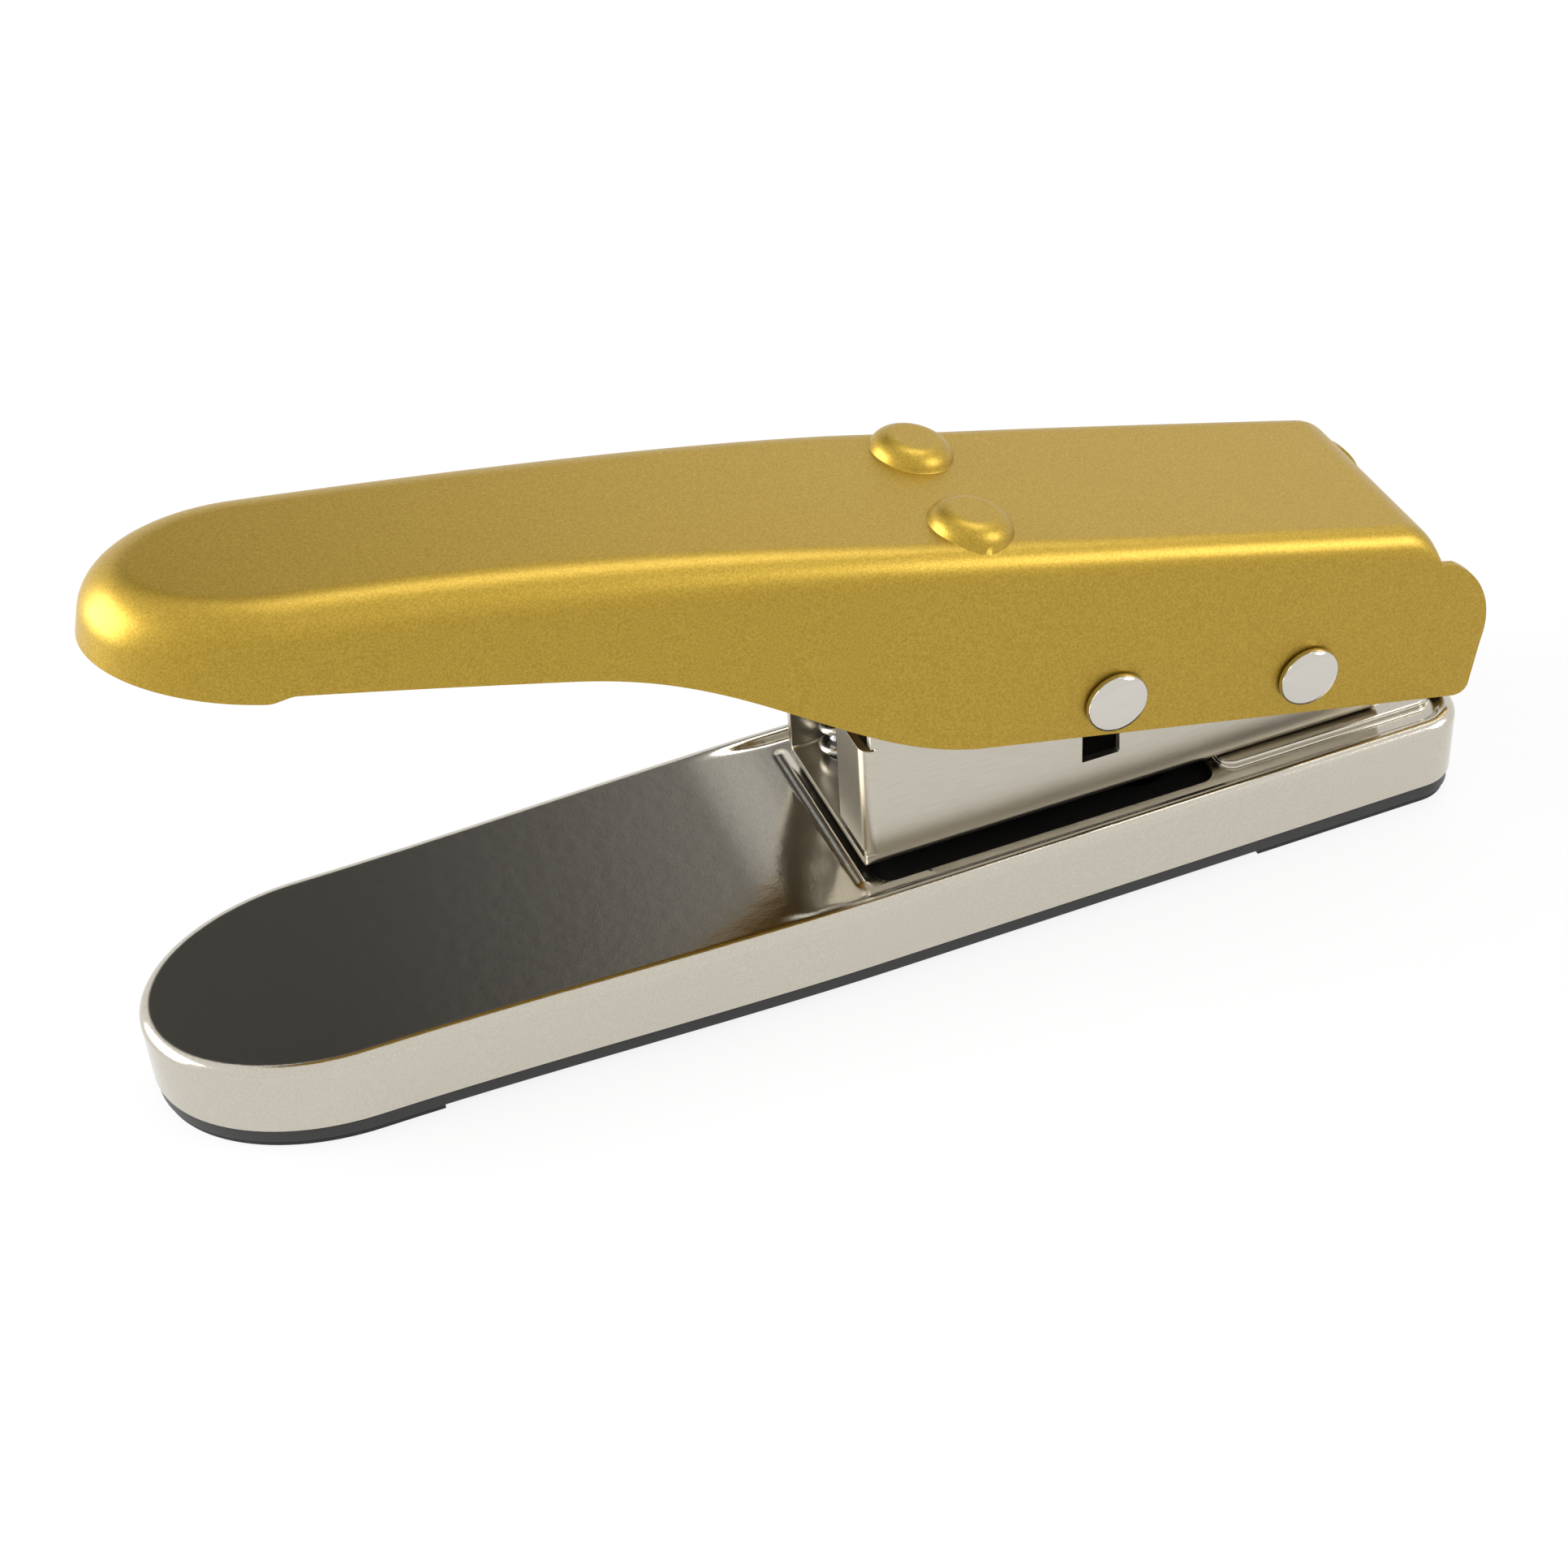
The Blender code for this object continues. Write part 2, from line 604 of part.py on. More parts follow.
def make_cover_and_feet():
    outline = half_base_outline()
    flange_top = WALL_FOOT - GAP
    cover = outline_plate(
        "base_cover", whole(inset(outline, COVER_INSET)), COVER_BOTTOM, flange_top, material=BLACK_PLASTIC
    )
    lip_inset = BASE_SHEET + GAP
    lip_top = flange_top + COVER_LIP_HEIGHT
    lip = outline_plate(
        "cover_lip_tool", whole(inset(outline, lip_inset)), COVER_BOTTOM + COVER_FLOOR / 2, lip_top
    )
    boolean(cover, lip, "UNION")
    hollow = outline_plate(
        "cover_hollow_tool", whole(inset(outline, lip_inset + COVER_LIP)), COVER_BOTTOM + COVER_FLOOR,
        lip_top + OVERRUN,
    )
    boolean(cover, hollow)
    pad_outline = inset(outline, COVER_INSET + FOOT_INSET)
    front_end = BASE_FRONT + FRONT_FOOT_LENGTH
    rear_end = BASE_REAR - REAR_FOOT_LENGTH
    for name, end, side in (("front_foot", front_end, -1), ("rear_foot", rear_end, 1)):
        kept = [point for point in pad_outline if side * (point[0] - end) > 0]
        near = min(pad_outline, key=lambda point: abs(point[0] - end))
        edge = (end, near[1])
        half = kept + [edge, (end, 0.0)] if side < 0 else [(end, 0.0), edge] + kept
        outline_plate(name, whole(half), 0.0, FOOT_PAD, material=BLACK_RUBBER)


# Frame, die and what fastens them


def frame_rivet_places():
    """Two pairs, one near the front of the platform and one near the rear of the frame."""
    pairs = (PLATFORM_FRONT + FRAME_RIVET_EDGE, FRAME_REAR - FRAME_RIVET_EDGE)
    return [(x, side * FRAME_RIVET_SPACING / 2) for x in pairs for side in (-1, 1)]


def small_hole(obj, name, pin_diameter, x, y, z):
    """An upright hole with the usual clearance round a small pin."""
    hole = rod(name, pin_diameter / 2 + GAP, BASE_TOP, (x, y, z), steps=SMALL_ROUND_STEPS)
    boolean(obj, hole)


def frame_rivet_holes(obj, z):
    for i, (x, y) in enumerate(frame_rivet_places()):
        small_hole(obj, f"{obj.name}_rivet_hole_{i}", FRAME_RIVET_DIAMETER, x, y, z)


def frame_side_outline():
    """The side plate's outline: a stepped, sloping front above the flange, a level top and a sloping rear."""
    front = FRAME_FRONT
    rear = FRAME_REAR
    step_top = FLANGE_TOP + FRONT_STEP_HEIGHT
    points = [
        (front, FRAME_BOTTOM - OVERRUN),
        (front, FLANGE_TOP),
        (front + FRONT_STEP, FLANGE_TOP),
        (front + FRONT_STEP, step_top),
        (front + FRONT_STEP + FRONT_SLOPE, FRAME_TOP),
        (rear - FRAME_REAR_SLOPE, FRAME_TOP),
        (rear, FRAME_REAR_TOP),
        (rear, FRAME_BOTTOM - OVERRUN),
    ]
    return points


def slot_outline():
    """Room for the drive pin from the open pose down to the pressed one, where it lies below the pivot."""
    half = SLOT_WIDTH / 2
    top = DRIVE_Z + PIN_RADIUS + SLOT_HEADROOM
    bottom = PIVOT_HEIGHT - DRIVE_PIN_BELOW - PIN_RADIUS - SLOT_FOOTROOM
    left = SLOT_CENTRE_X - half
    right = SLOT_CENTRE_X + half
    return [(left, bottom), (right, bottom), (right, top), (left, top)]


def make_punch_frame():
    bm = bmesh.new()
    section = [(HALF_FRAME, FRAME_TOP + OVERRUN)]
    section += arc((HALF_FRAME - FRAME_BEND, FRAME_BOTTOM + FRAME_BEND), FRAME_BEND, 0, -90, BEND_STEPS)
    section.append((0.0, FRAME_BOTTOM))
    ends = []
    for x in (FRAME_FRONT - OVERRUN, FRAME_REAR + OVERRUN):
        ends.append([bm.verts.new((x, y, z)) for y, z in section])
    for k in range(len(section) - 1):
        bm.faces.new((ends[0][k], ends[0][k + 1], ends[1][k + 1], ends[1][k]))
    bmesh.ops.recalc_face_normals(bm, faces=bm.faces)
    wall = max(bm.faces, key=lambda face: face.calc_center_median().z)
    if wall.normal.y < 0:
        bmesh.ops.reverse_faces(bm, faces=bm.faces)
    frame = add_object("punch_frame", mesh_from(bm, "punch_frame"), NICKEL)
    mirror = frame.modifiers.new("other_half", "MIRROR")
    mirror.use_axis = (False, True, False)
    mirror.merge_threshold = MERGE_DISTANCE
    solidify(frame, FRAME_SHEET)
    reach = HALF_FRAME + OVERRUN
    boolean(frame, outline_plate("frame_side_tool", frame_side_outline(), -reach, reach, "Y"), "INTERSECT")
    boolean(frame, flange_tool(), "UNION")
    boolean(frame, outline_plate("slot_tool", slot_outline(), -reach, reach, "Y"))
    boolean(frame, rod("pivot_hole_tool", PIN_HOLE_RADIUS, 2 * reach, (PIVOT_X, 0, PIVOT_HEIGHT), "Y"))
    pick_hole = outline_plate("web_pick_tool", pick_outline(GAP), FRAME_BOTTOM - OVERRUN, WEB_TOP + OVERRUN)
    boolean(frame, pick_hole)
    frame_rivet_holes(frame, WEB_TOP)
    for name, side in (("left", 1), ("right", -1)):
        y = side * POCKET_SPACING / 2
        small_hole(frame, f"peg_hole_{name}", PEG_DIAMETER, SPRING_FOOT_X, y, WEB_TOP)
    smooth(frame)


def flange_tool():
    """The front flange, bent inwards off the near side plate."""
    outer = FLANGE_BEND
    inner = FLANGE_BEND - FRAME_SHEET
    centre = (FRAME_FRONT + outer, outer - HALF_FRAME)
    tip_y = FLANGE_WIDTH - HALF_FRAME
    points = [(FRAME_FRONT, tip_y)]
    points += arc(centre, outer, 180, 270, BEND_STEPS)
    points += [(centre[0] + outer, -HALF_FRAME), (centre[0] + outer, FRAME_SHEET - HALF_FRAME)]
    points += arc(centre, inner, 270, 180, BEND_STEPS)
    points.append((FRAME_FRONT + FRAME_SHEET, tip_y))
    return outline_plate("front_flange_tool", points, WEB_TOP + FLANGE_FOOT, FLANGE_TOP)


def pick_outline(grown=0.0):
    """A standard pick, tip towards the nose of the tool: a round tip, bowed sides and a broad round rear."""
    tip_x = DRIVE_X - PICK_LENGTH / 2 - grown
    rear_x = DRIVE_X + PICK_LENGTH / 2 + grown
    half = PICK_WIDTH / 2 + grown
    tip = PICK_TIP_RADIUS + grown
    shoulder = PICK_SHOULDER_RADIUS + grown
    side_points = []
    steps = 5
    start = (tip_x + tip * TIP_TURN_SHARE, tip * math.sqrt(1 - (1 - TIP_TURN_SHARE) ** 2))
    end = (rear_x - shoulder, half)
    for i in range(1, steps):
        share = i / steps
        bow = PICK_SIDE_BOW_SHARE * PICK_WIDTH * 4 * share * (1 - share)
        straight = start[1] + (end[1] - start[1]) * share
        side_points.append((start[0] + (end[0] - start[0]) * share, straight + bow))
    half_points = [(tip_x, 0.0)]
    for i in range(1, 4):
        turn = math.acos(1 - TIP_TURN_SHARE) * i / 3
        half_points.append((tip_x + tip * (1 - math.cos(turn)), tip * math.sin(turn)))
    half_points += side_points
    half_points += arc((rear_x - shoulder, half - shoulder), shoulder, 90, 30, 4)
    half_points.append((rear_x, 0.0))
    return whole(half_points)


TIP_TURN_SHARE = 0.45
PICK_SIDE_BOW_SHARE = 0.045


def make_die():
    front = FRAME_FRONT - DIE_AHEAD
    rear = PLATFORM_REAR - DIE_REAR_MARGIN
    low = DIE_TOP - DIE_THICKNESS
    outline = rounded_box(front, rear, HALF_WINDOW + DIE_LAP, WINDOW_CORNER)
    die = outline_plate("die_plate", outline, low, DIE_TOP, material=BLACK_STEEL)
    boolean(die, outline_plate("die_pick_tool", pick_outline(GAP), low - OVERRUN, DIE_TOP + OVERRUN))
    frame_rivet_holes(die, low)


RIVET_CROWN_SHARE = 0.6
RIVET_SHOULDER_SHARE = 0.9


def make_frame_rivets():
    """Four rivets clamp the frame's web, the base's platform and the die together."""
    top = WEB_TOP + GAP
    bottom = DIE_TOP - DIE_THICKNESS - GAP
    shank = FRAME_RIVET_DIAMETER / 2
    head = FRAME_RIVET_HEAD / 2
    rim = FRAME_RIVET_HEAD_HEIGHT / 3
    high = FRAME_RIVET_HEAD_HEIGHT
    crown = head * RIVET_CROWN_SHARE
    shoulder = high * RIVET_SHOULDER_SHARE
    profile = [(0.0, top + high), (crown, top + shoulder), (head, top + rim), (head, top), (shank, top)]
    profile += [(shank, bottom), (head, bottom), (head, bottom - rim), (crown, bottom - shoulder)]
    profile.append((0.0, bottom - high))
    for i, (x, y) in enumerate(frame_rivet_places()):
        rivet = turned(f"frame_rivet_{i + 1}", profile, NICKEL, location=(x, y, 0), steps=SMALL_ROUND_STEPS)
        smooth(rivet)


# Pins, washers and sleeve


def pin_profile():
    """One turned rivet: a shank with a low domed head, slightly dimpled, at each end."""
    seat = HALF_HANDLE + GAP
    radius = HEAD_DIAMETER / 2
    rise = HEAD_HEIGHT - HEAD_RIM
    dome = [(radius * share, seat + HEAD_RIM + rise * math.sqrt(1 - share**4)) for share in HEAD_DOME_SHARES]
    dome[0] = (0.0, dome[0][1] - HEAD_DIMPLE)
    upper = dome + [(radius, seat + HEAD_RIM), (radius * HEAD_SEAT_SHARE, seat), (PIN_RADIUS, seat)]
    return upper + [(r, -z) for r, z in reversed(upper)]


HEAD_DOME_SHARES = (0.0, 0.22, 0.55, 0.82, 0.96)
HEAD_SEAT_SHARE = 0.97
HEAD_SMOOTH_ANGLE = 50.0


def tube_profile(outer, inner, low, high):
    return [(outer, high), (outer, low), (inner, low), (inner, high), (outer, high)]


def make_pins(pivot):
    across = (math.pi / 2, 0, 0)
    for name, along, up in PIN_PLACES:
        place = (along, 0, up)
        pin = turned(f"{name}_pin", pin_profile(), CHROME, location=place, rotation=across, parent=pivot)
        smooth(pin, HEAD_SMOOTH_ANGLE)
    inner = HALF_FRAME + GAP
    outer = HALF_HANDLE - HANDLE_SHEET - GAP
    for role, along, up in PIN_PLACES:
        for side, low, high in (("left", inner, outer), ("right", -outer, -inner)):
            ring = tube_profile(WASHER_DIAMETER / 2, PIN_HOLE_RADIUS, -high, -low)
            washer = turned(
                f"{role}_washer_{side}", ring, NYLON, location=(along, 0, up), rotation=across, parent=pivot
            )
            smooth(washer)
    half = HALF_FRAME - FRAME_SHEET - GAP
    sleeve = turned(
        "pivot_sleeve", tube_profile(SLEEVE_DIAMETER / 2, PIN_HOLE_RADIUS, -half, half), TOOL_STEEL,
        location=(PIVOT_X, 0, PIVOT_HEIGHT), rotation=across,
    )
    smooth(sleeve)


# Punch and carrier


def make_punch():
    punch = outline_plate("pick_punch", pick_outline(), PUNCH_BOTTOM, PUNCH_TOP, material=TOOL_STEEL)
    reach = PICK_LENGTH / 2 + CARRIER_PAST_PICK
    half = HALF_FRAME - FRAME_SHEET - 2 * GAP
    high = DRIVE_Z + CARRIER_ABOVE_PIN
    low_corner = (DRIVE_X - reach, -half, CARRIER_BOTTOM)
    carrier = block("punch_carrier", low_corner, (DRIVE_X + reach, half, high), TOOL_STEEL)
    bevel(carrier, CARRIER_EDGE)
    eye = arc((DRIVE_X, DRIVE_Z), PIN_HOLE_RADIUS, -90, 90, EYE_STEPS)
    eye += arc((DRIVE_X - DRIVE_DRIFT, DRIVE_Z), PIN_HOLE_RADIUS, 90, 270, EYE_STEPS)
    boolean(carrier, outline_plate("carrier_eye_tool", eye, -half - OVERRUN, half + OVERRUN, "Y"))
    shank = PUNCH_SCREW_DIAMETER / 2
    head = PUNCH_SCREW_HEAD / 2
    seat = high + GAP
    for i, side in enumerate((-1, 1)):
        x = DRIVE_X + side * PUNCH_SCREW_SPACING / 2
        depth = PUNCH_TOP - PUNCH_SCREW_DEPTH
        crown = seat + PUNCH_SCREW_HEAD_HEIGHT
        profile = [(0.0, crown), (head, crown), (head, seat), (shank, seat), (shank, depth), (0.0, depth)]
        name = f"punch_screw_{i + 1}"
        screw = turned(name, profile, BLACK_STEEL, location=(x, 0, 0), steps=SMALL_ROUND_STEPS)
        boolean(screw, rod(f"hex_tool_{i}", HEX_SOCKET / 2, 2 * HEX_DEPTH, (x, 0, crown), steps=HEX_SIDES))
        bore_length = high - depth + 2 * GAP
        middle = (x, 0, (high + depth) / 2)
        bore = rod(f"screw_bore_{i}", shank + GAP, bore_length, middle, steps=SMALL_ROUND_STEPS)
        boolean(carrier, bore)
        boolean(punch, bore)
        smooth(screw)


# Springs


def spring_centre_line(side):
    """A cubic curve that leaves the web upright and meets the pocket square."""
    y = side * POCKET_SPACING / 2
    foot = Vector((SPRING_FOOT_X, y, WEB_TOP + GAP + SPRING_WIRE / 2))
    seat_up = HANDLE_TOP + POCKET_HEIGHT - HANDLE_SHEET - GAP - SPRING_WIRE / 2
    behind, above = open_offset(-POCKET_AHEAD, seat_up)
    seat = Vector((PIVOT_X + behind, y, PIVOT_HEIGHT + above))
    third = (seat - foot).length / 3
    foot_hand = foot + Vector((0, 0, third))
    seat_hand = seat - third * Vector((math.sin(OPEN_ANGLE), 0, math.cos(OPEN_ANGLE)))
    return foot, foot_hand, seat_hand, seat


def curve_point(hands, t):
    a, b, c, d = hands
    u = 1 - t
    point = a * u**3 + b * 3 * u * u * t + c * 3 * u * t * t + d * t**3
    slope = (b - a) * 3 * u * u + (c - b) * 6 * u * t + (d - c) * 3 * t * t
    return point, slope.normalized()


def spring_points(side):
    hands = spring_centre_line(side)
    length = (hands[3] - hands[0]).length
    end_share = SPRING_END_PITCH / length
    radius = (SPRING_DIAMETER - SPRING_WIRE) / 2
    count = SPRING_TURNS * SPRING_POINTS_PER_TURN
    points = []
    for i in range(count + 1):
        turn = i / SPRING_POINTS_PER_TURN
        if turn < 1:
            share = end_share * turn
        elif turn > SPRING_TURNS - 1:
            share = 1 - end_share * (SPRING_TURNS - turn)
        else:
            share = end_share + (1 - 2 * end_share) * (turn - 1) / (SPRING_TURNS - 2)
        centre, along = curve_point(hands, share)
        across = Vector((0, 1, 0))
        over = across.cross(along)
        angle = 2 * math.pi * turn
        points.append(centre + radius * (math.cos(angle) * over + math.sin(angle) * across))
    return points


def least_gap(points, wire, apart):
    """The least clear distance between stretches of a wire that lie at least half a turn apart."""
    least = min(
        (points[i] - points[j]).length for i in range(len(points)) for j in range(i + apart, len(points))
    )
    return least - wire


def make_springs():
    for side, name in ((1, "left"), (-1, "right")):
        points = spring_points(side)
        curve = bpy.data.curves.new(f"return_spring_{name}", "CURVE")
        curve.dimensions = "3D"
        curve.bevel_depth = SPRING_WIRE / 2
        curve.bevel_resolution = 1
        curve.use_fill_caps = True
        spline = curve.splines.new("POLY")
        spline.points.add(len(points) - 1)
        for point, place in zip(spline.points, points):
            point.co = (*place, 1)
        spring = bpy.data.objects.new(f"return_spring_{name}", curve)
        curve.materials.append(SPRING_STEEL)
        PARTS.objects.link(spring)
        gap = least_gap(points, SPRING_WIRE, SPRING_POINTS_PER_TURN // 2 + 1)
        print(f"{spring.name}: {SPRING_TURNS} turns, least gap to itself {gap / MM:.2f} mm")
        radius = PEG_DIAMETER / 2
        foot = PEG_FOOT_DIAMETER / 2
        under = FRAME_BOTTOM - GAP
        sunk = (FRAME_BOTTOM - BASE_TOP) / 2
        top = WEB_TOP + PEG_HEIGHT
        profile = [(0.0, top), (radius / 2, top), (radius, top - radius / 2), (radius, under), (foot, under)]
        profile += [(foot, under - sunk / 2), (0.0, under - sunk / 2)]
        place = (SPRING_FOOT_X, side * POCKET_SPACING / 2, 0)
        smooth(turned(f"spring_peg_{name}", profile, TOOL_STEEL, location=place, steps=SMALL_ROUND_STEPS))


# Handle


def handle_top_at(along):
    """Level over the frame, then falling in one long arc towards the nose."""
    past = max(-along - TOP_ARC_START, 0.0)
    return HANDLE_TOP - (TOP_ARC_RADIUS - math.sqrt(TOP_ARC_RADIUS**2 - past**2))


def handle_edge_at(along):
    share = smooth_step((-along - TOP_ARC_START / 2) / (GRIP_LENGTH - TOP_ARC_START))
    return HANDLE_EDGE + (GRIP_EDGE - HANDLE_EDGE) * share


def handle_side_outline():
    """What is left of the pressing in side view: the trimmed skirt, the round ears and the square top end."""
    nose = -GRIP_LENGTH - HANDLE_NOSE_LENGTH - OVERRUN
    above = HANDLE_TOP + 2 * POCKET_HEIGHT
    centre = (EAR_CENTRE_ALONG, EAR_CENTRE_HEIGHT)
    grip_end = -SKIRT_FRONT - SKIRT_CURVE
    points = [(nose, above), (nose, SKIRT_NOSE), (-GRIP_LENGTH - SKIRT_CORNER, SKIRT_NOSE)]
    points += [(-GRIP_LENGTH + SKIRT_CORNER, SKIRT_GRIP)]
    for share in SKIRT_SHARES:
        drop = (SKIRT_GRIP + SKIRT_LOW) * smooth_step(share) ** SKIRT_POWER
        points.append((grip_end + SKIRT_CURVE * share, SKIRT_GRIP - drop))
    rear_x = EAR_REACH
    slope = (SKIRT_LOW - SKIRT_REAR) / (rear_x + SKIRT_FRONT)
    corner_up = SKIRT_CORNER - SKIRT_REAR
    points.append((rear_x - SKIRT_CORNER, -SKIRT_REAR - slope * SKIRT_CORNER))
    points += arc((rear_x - SKIRT_CORNER, corner_up), SKIRT_CORNER, -60, 0, 2)
    end_angle = math.degrees(math.acos((TOP_END - centre[0]) / EAR_RADIUS))
    points += arc(centre, EAR_RADIUS, 0, end_angle, 7)
    points.append((TOP_END, above))
    return points


SKIRT_SHARES = (0.0, 0.2, 0.35, 0.48, 0.58, 0.68, 0.78, 0.86, 0.93, 1.0)
SKIRT_POWER = 1.25


def back_flange_tool():
    """The top sheet bends down behind the frame, between the ears."""
    outer = HANDLE_EDGE
    inner = HANDLE_EDGE - HANDLE_SHEET
    centre = (TOP_END, HANDLE_TOP - outer)
    lap = TOP_END - HANDLE_SHEET / 2
    points = [(lap, HANDLE_TOP)] + arc(centre, outer, 90, 0, BEND_STEPS)
    points += [(TOP_END + outer, BACK_FLANGE_BOTTOM), (TOP_END + inner, BACK_FLANGE_BOTTOM)]
    points += arc(centre, inner, 0, 90, BEND_STEPS) + [(lap, HANDLE_TOP - HANDLE_SHEET)]
    half = HALF_HANDLE - HANDLE_EDGE - BACK_NOTCH / 2
    return points, half


def pocket_profiles():
    """The pocket's outer form and the hollow under it, as turned profiles about its own axis."""
    foot = HANDLE_TOP - HANDLE_SHEET / 2
    top = HANDLE_TOP + POCKET_HEIGHT
    flare = POCKET_FOOT_RADIUS
    crown = POCKET_TOP_RADIUS
    outer = [(0.0, top)] + [
        (crown - POCKET_ROUNDING * (1 - math.sin(a)), top - POCKET_ROUNDING * (1 - math.cos(a)))
        for a in (0.0, math.radians(30), math.radians(60))
    ]
    foot_round = HANDLE_SHEET / 4
    outer.append((flare - foot_round, HANDLE_TOP + foot_round))
    outer += [(flare, HANDLE_TOP - foot_round / 2), (flare, foot), (0.0, foot)]
    hollow_top = top - HANDLE_SHEET
    hollow = [(0.0, hollow_top), (crown - HANDLE_SHEET, hollow_top)]
    hollow += [(flare - HANDLE_SHEET, HANDLE_TOP - HANDLE_SHEET), (flare - HANDLE_SHEET, foot - HANDLE_SHEET)]
    hollow.append((0.0, foot - HANDLE_SHEET))
    return outer, hollow


def make_handle(pivot):
    spine = (-GRIP_LENGTH, EAR_REACH + OVERRUN)
    shell = pressed_lid(
        "handle_shell", half_handle_outline(), False, spine, -SKIRT_LOW - OVERRUN,
        handle_top_at, handle_edge_at, HANDLE_FILL_SHARES, lambda x, share: 0.0, GOLD_PAINT, parent=pivot,
    )
    solidify(shell, HANDLE_SHEET)
    reach = HALF_HANDLE + OVERRUN
    side = outline_plate("handle_side_tool", handle_side_outline(), -reach, reach, "Y", parent=pivot)
    boolean(shell, side, "INTERSECT")
    points, half = back_flange_tool()
    boolean(shell, outline_plate("back_flange_tool", points, -half, half, "Y", parent=pivot), "UNION")
    outer, hollow = pocket_profiles()
    for name, y in (("left", 1), ("right", -1)):
        place = (-POCKET_AHEAD, y * POCKET_SPACING / 2, 0)
        dome = turned(f"pocket_{name}_tool", outer, location=place, parent=pivot, steps=POCKET_STEPS)
        boolean(shell, dome, "UNION")
        space = turned(f"pocket_hollow_{name}_tool", hollow, location=place, parent=pivot, steps=POCKET_STEPS)
        boolean(shell, space)
    for name, along, up in PIN_PLACES:
        place = (along, 0, up)
        boolean(shell, rod(f"handle_{name}_hole", PIN_HOLE_RADIUS, 2 * reach, place, "Y", parent=pivot))
    smooth(shell)


HANDLE_FILL_SHARES = (0.4, 1.0)


def main():
    pivot = bpy.data.objects.new("handle_pivot", None)
    pivot.location = (PIVOT_X, 0, PIVOT_HEIGHT)
    pivot.rotation_euler = (0, OPEN_ANGLE, 0)
    PARTS.objects.link(pivot)
    bpy.context.view_layer.update()
    make_base_shell()
    make_cover_and_feet()
    make_punch_frame()
    make_die()
    make_frame_rivets()
    make_pins(pivot)
    make_punch()
    make_springs()
    make_handle(pivot)
    bpy.context.view_layer.update()


main()
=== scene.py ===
# %% [markdown]
# # A guitar pick punch, dressed for its picture
#
# The tool is a hand punch, built like a desk stapler. A gold painted handle turns on a rivet at the rear
# of a U-shaped frame, and the frame stands on a long nickel-plated base. The working parts come in as a
# finished model, at their real size. This lesson models the pieces that the eye follows once more, with
# finer roundings, gives each part its material, and sets up the studio.

import math

import bmesh
import bpy
from mathutils import Matrix, Vector


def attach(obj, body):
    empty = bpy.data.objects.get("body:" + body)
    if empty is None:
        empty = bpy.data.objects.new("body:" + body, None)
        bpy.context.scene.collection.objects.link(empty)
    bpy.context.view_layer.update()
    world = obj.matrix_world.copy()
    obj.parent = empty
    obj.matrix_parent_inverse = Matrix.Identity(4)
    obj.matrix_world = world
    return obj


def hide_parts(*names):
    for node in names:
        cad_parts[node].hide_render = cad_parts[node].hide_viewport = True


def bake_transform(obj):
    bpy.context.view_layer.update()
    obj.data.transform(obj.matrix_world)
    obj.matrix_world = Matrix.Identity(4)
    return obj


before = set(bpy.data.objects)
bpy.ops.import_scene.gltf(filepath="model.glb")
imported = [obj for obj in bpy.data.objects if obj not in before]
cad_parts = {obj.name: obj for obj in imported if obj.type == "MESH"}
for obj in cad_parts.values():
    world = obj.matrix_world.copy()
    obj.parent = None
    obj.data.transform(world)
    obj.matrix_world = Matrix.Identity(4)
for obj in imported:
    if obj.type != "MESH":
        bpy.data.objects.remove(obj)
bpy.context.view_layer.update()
MM = 0.001

# %% [markdown]
# ## The camera
#
# The picture was taken from one side of the tool, a little ahead of its middle and about 450 mm away,
# looking down at forty degrees, with the camera leaning over by four. Its place was worked out from the
# straight edges of the base and of the frame. A camera can be aimed with a constraint, but then it can't
# lean, so its three turns are multiplied together here: the lean first, then the tilt down, then the
# heading.

# %% Place the camera
CAMERA_PLACE = (-115.6 * MM, -317.3 * MM, 308.3 * MM)
CAMERA_HEADING = math.radians(19.30)
CAMERA_DOWN = math.radians(40.29)
CAMERA_LEAN = math.radians(-4.17)
PICTURE_WIDTH_PIXELS = 1932
FOCAL_PIXELS = 3597.5
SENSOR_WIDTH_MM = 36.0
CLIP_START = 10 * MM


def put_in_scene(name, data):
    """Makes an object of a camera, a curve or a lamp, and links it to the scene."""
    thing = bpy.data.objects.new(name, data)
    bpy.context.scene.collection.objects.link(thing)
    return thing


camera_data = bpy.data.cameras.new("picture_camera")
camera_data.sensor_width = SENSOR_WIDTH_MM
camera_data.lens = SENSOR_WIDTH_MM * FOCAL_PIXELS / PICTURE_WIDTH_PIXELS
camera_data.clip_start = CLIP_START
camera = put_in_scene("picture_camera", camera_data)
camera.matrix_world = (
    Matrix.Translation(CAMERA_PLACE)
    @ Matrix.Rotation(-CAMERA_HEADING, 4, "Z")
    @ Matrix.Rotation(math.pi / 2 - CAMERA_DOWN, 4, "X")
    @ Matrix.Rotation(CAMERA_LEAN, 4, "Z")
)
bpy.context.scene.camera = camera
print("lens in mm:", round(camera_data.lens, 2))

# %% [markdown]
# ## Helpers for modelling by hand
#
# Blender's operators act on whatever is selected, as they do under a modeller's hands. So each step here
# first selects faces, edges or points by where they are, and then calls one operator. These few helpers
# go into edit mode, select, round and stretch. The next ones add a block or a rod at its real size, apply
# a modifier, and cut one piece with another.

# %% Select and edit
NEAR = 0.02 * MM
MANY_SIDES = 8


def select_only(*pieces):
    bpy.ops.object.select_all(action="DESELECT")
    for piece in pieces:
        piece.select_set(True)
    bpy.context.view_layer.objects.active = pieces[0]


def edit(piece):
    """Goes into edit mode on one piece, with nothing selected."""
    select_only(piece)
    bpy.ops.object.mode_set(mode="EDIT")
    bpy.ops.mesh.select_all(action="DESELECT")


def done():
    bpy.ops.object.mode_set(mode="OBJECT")


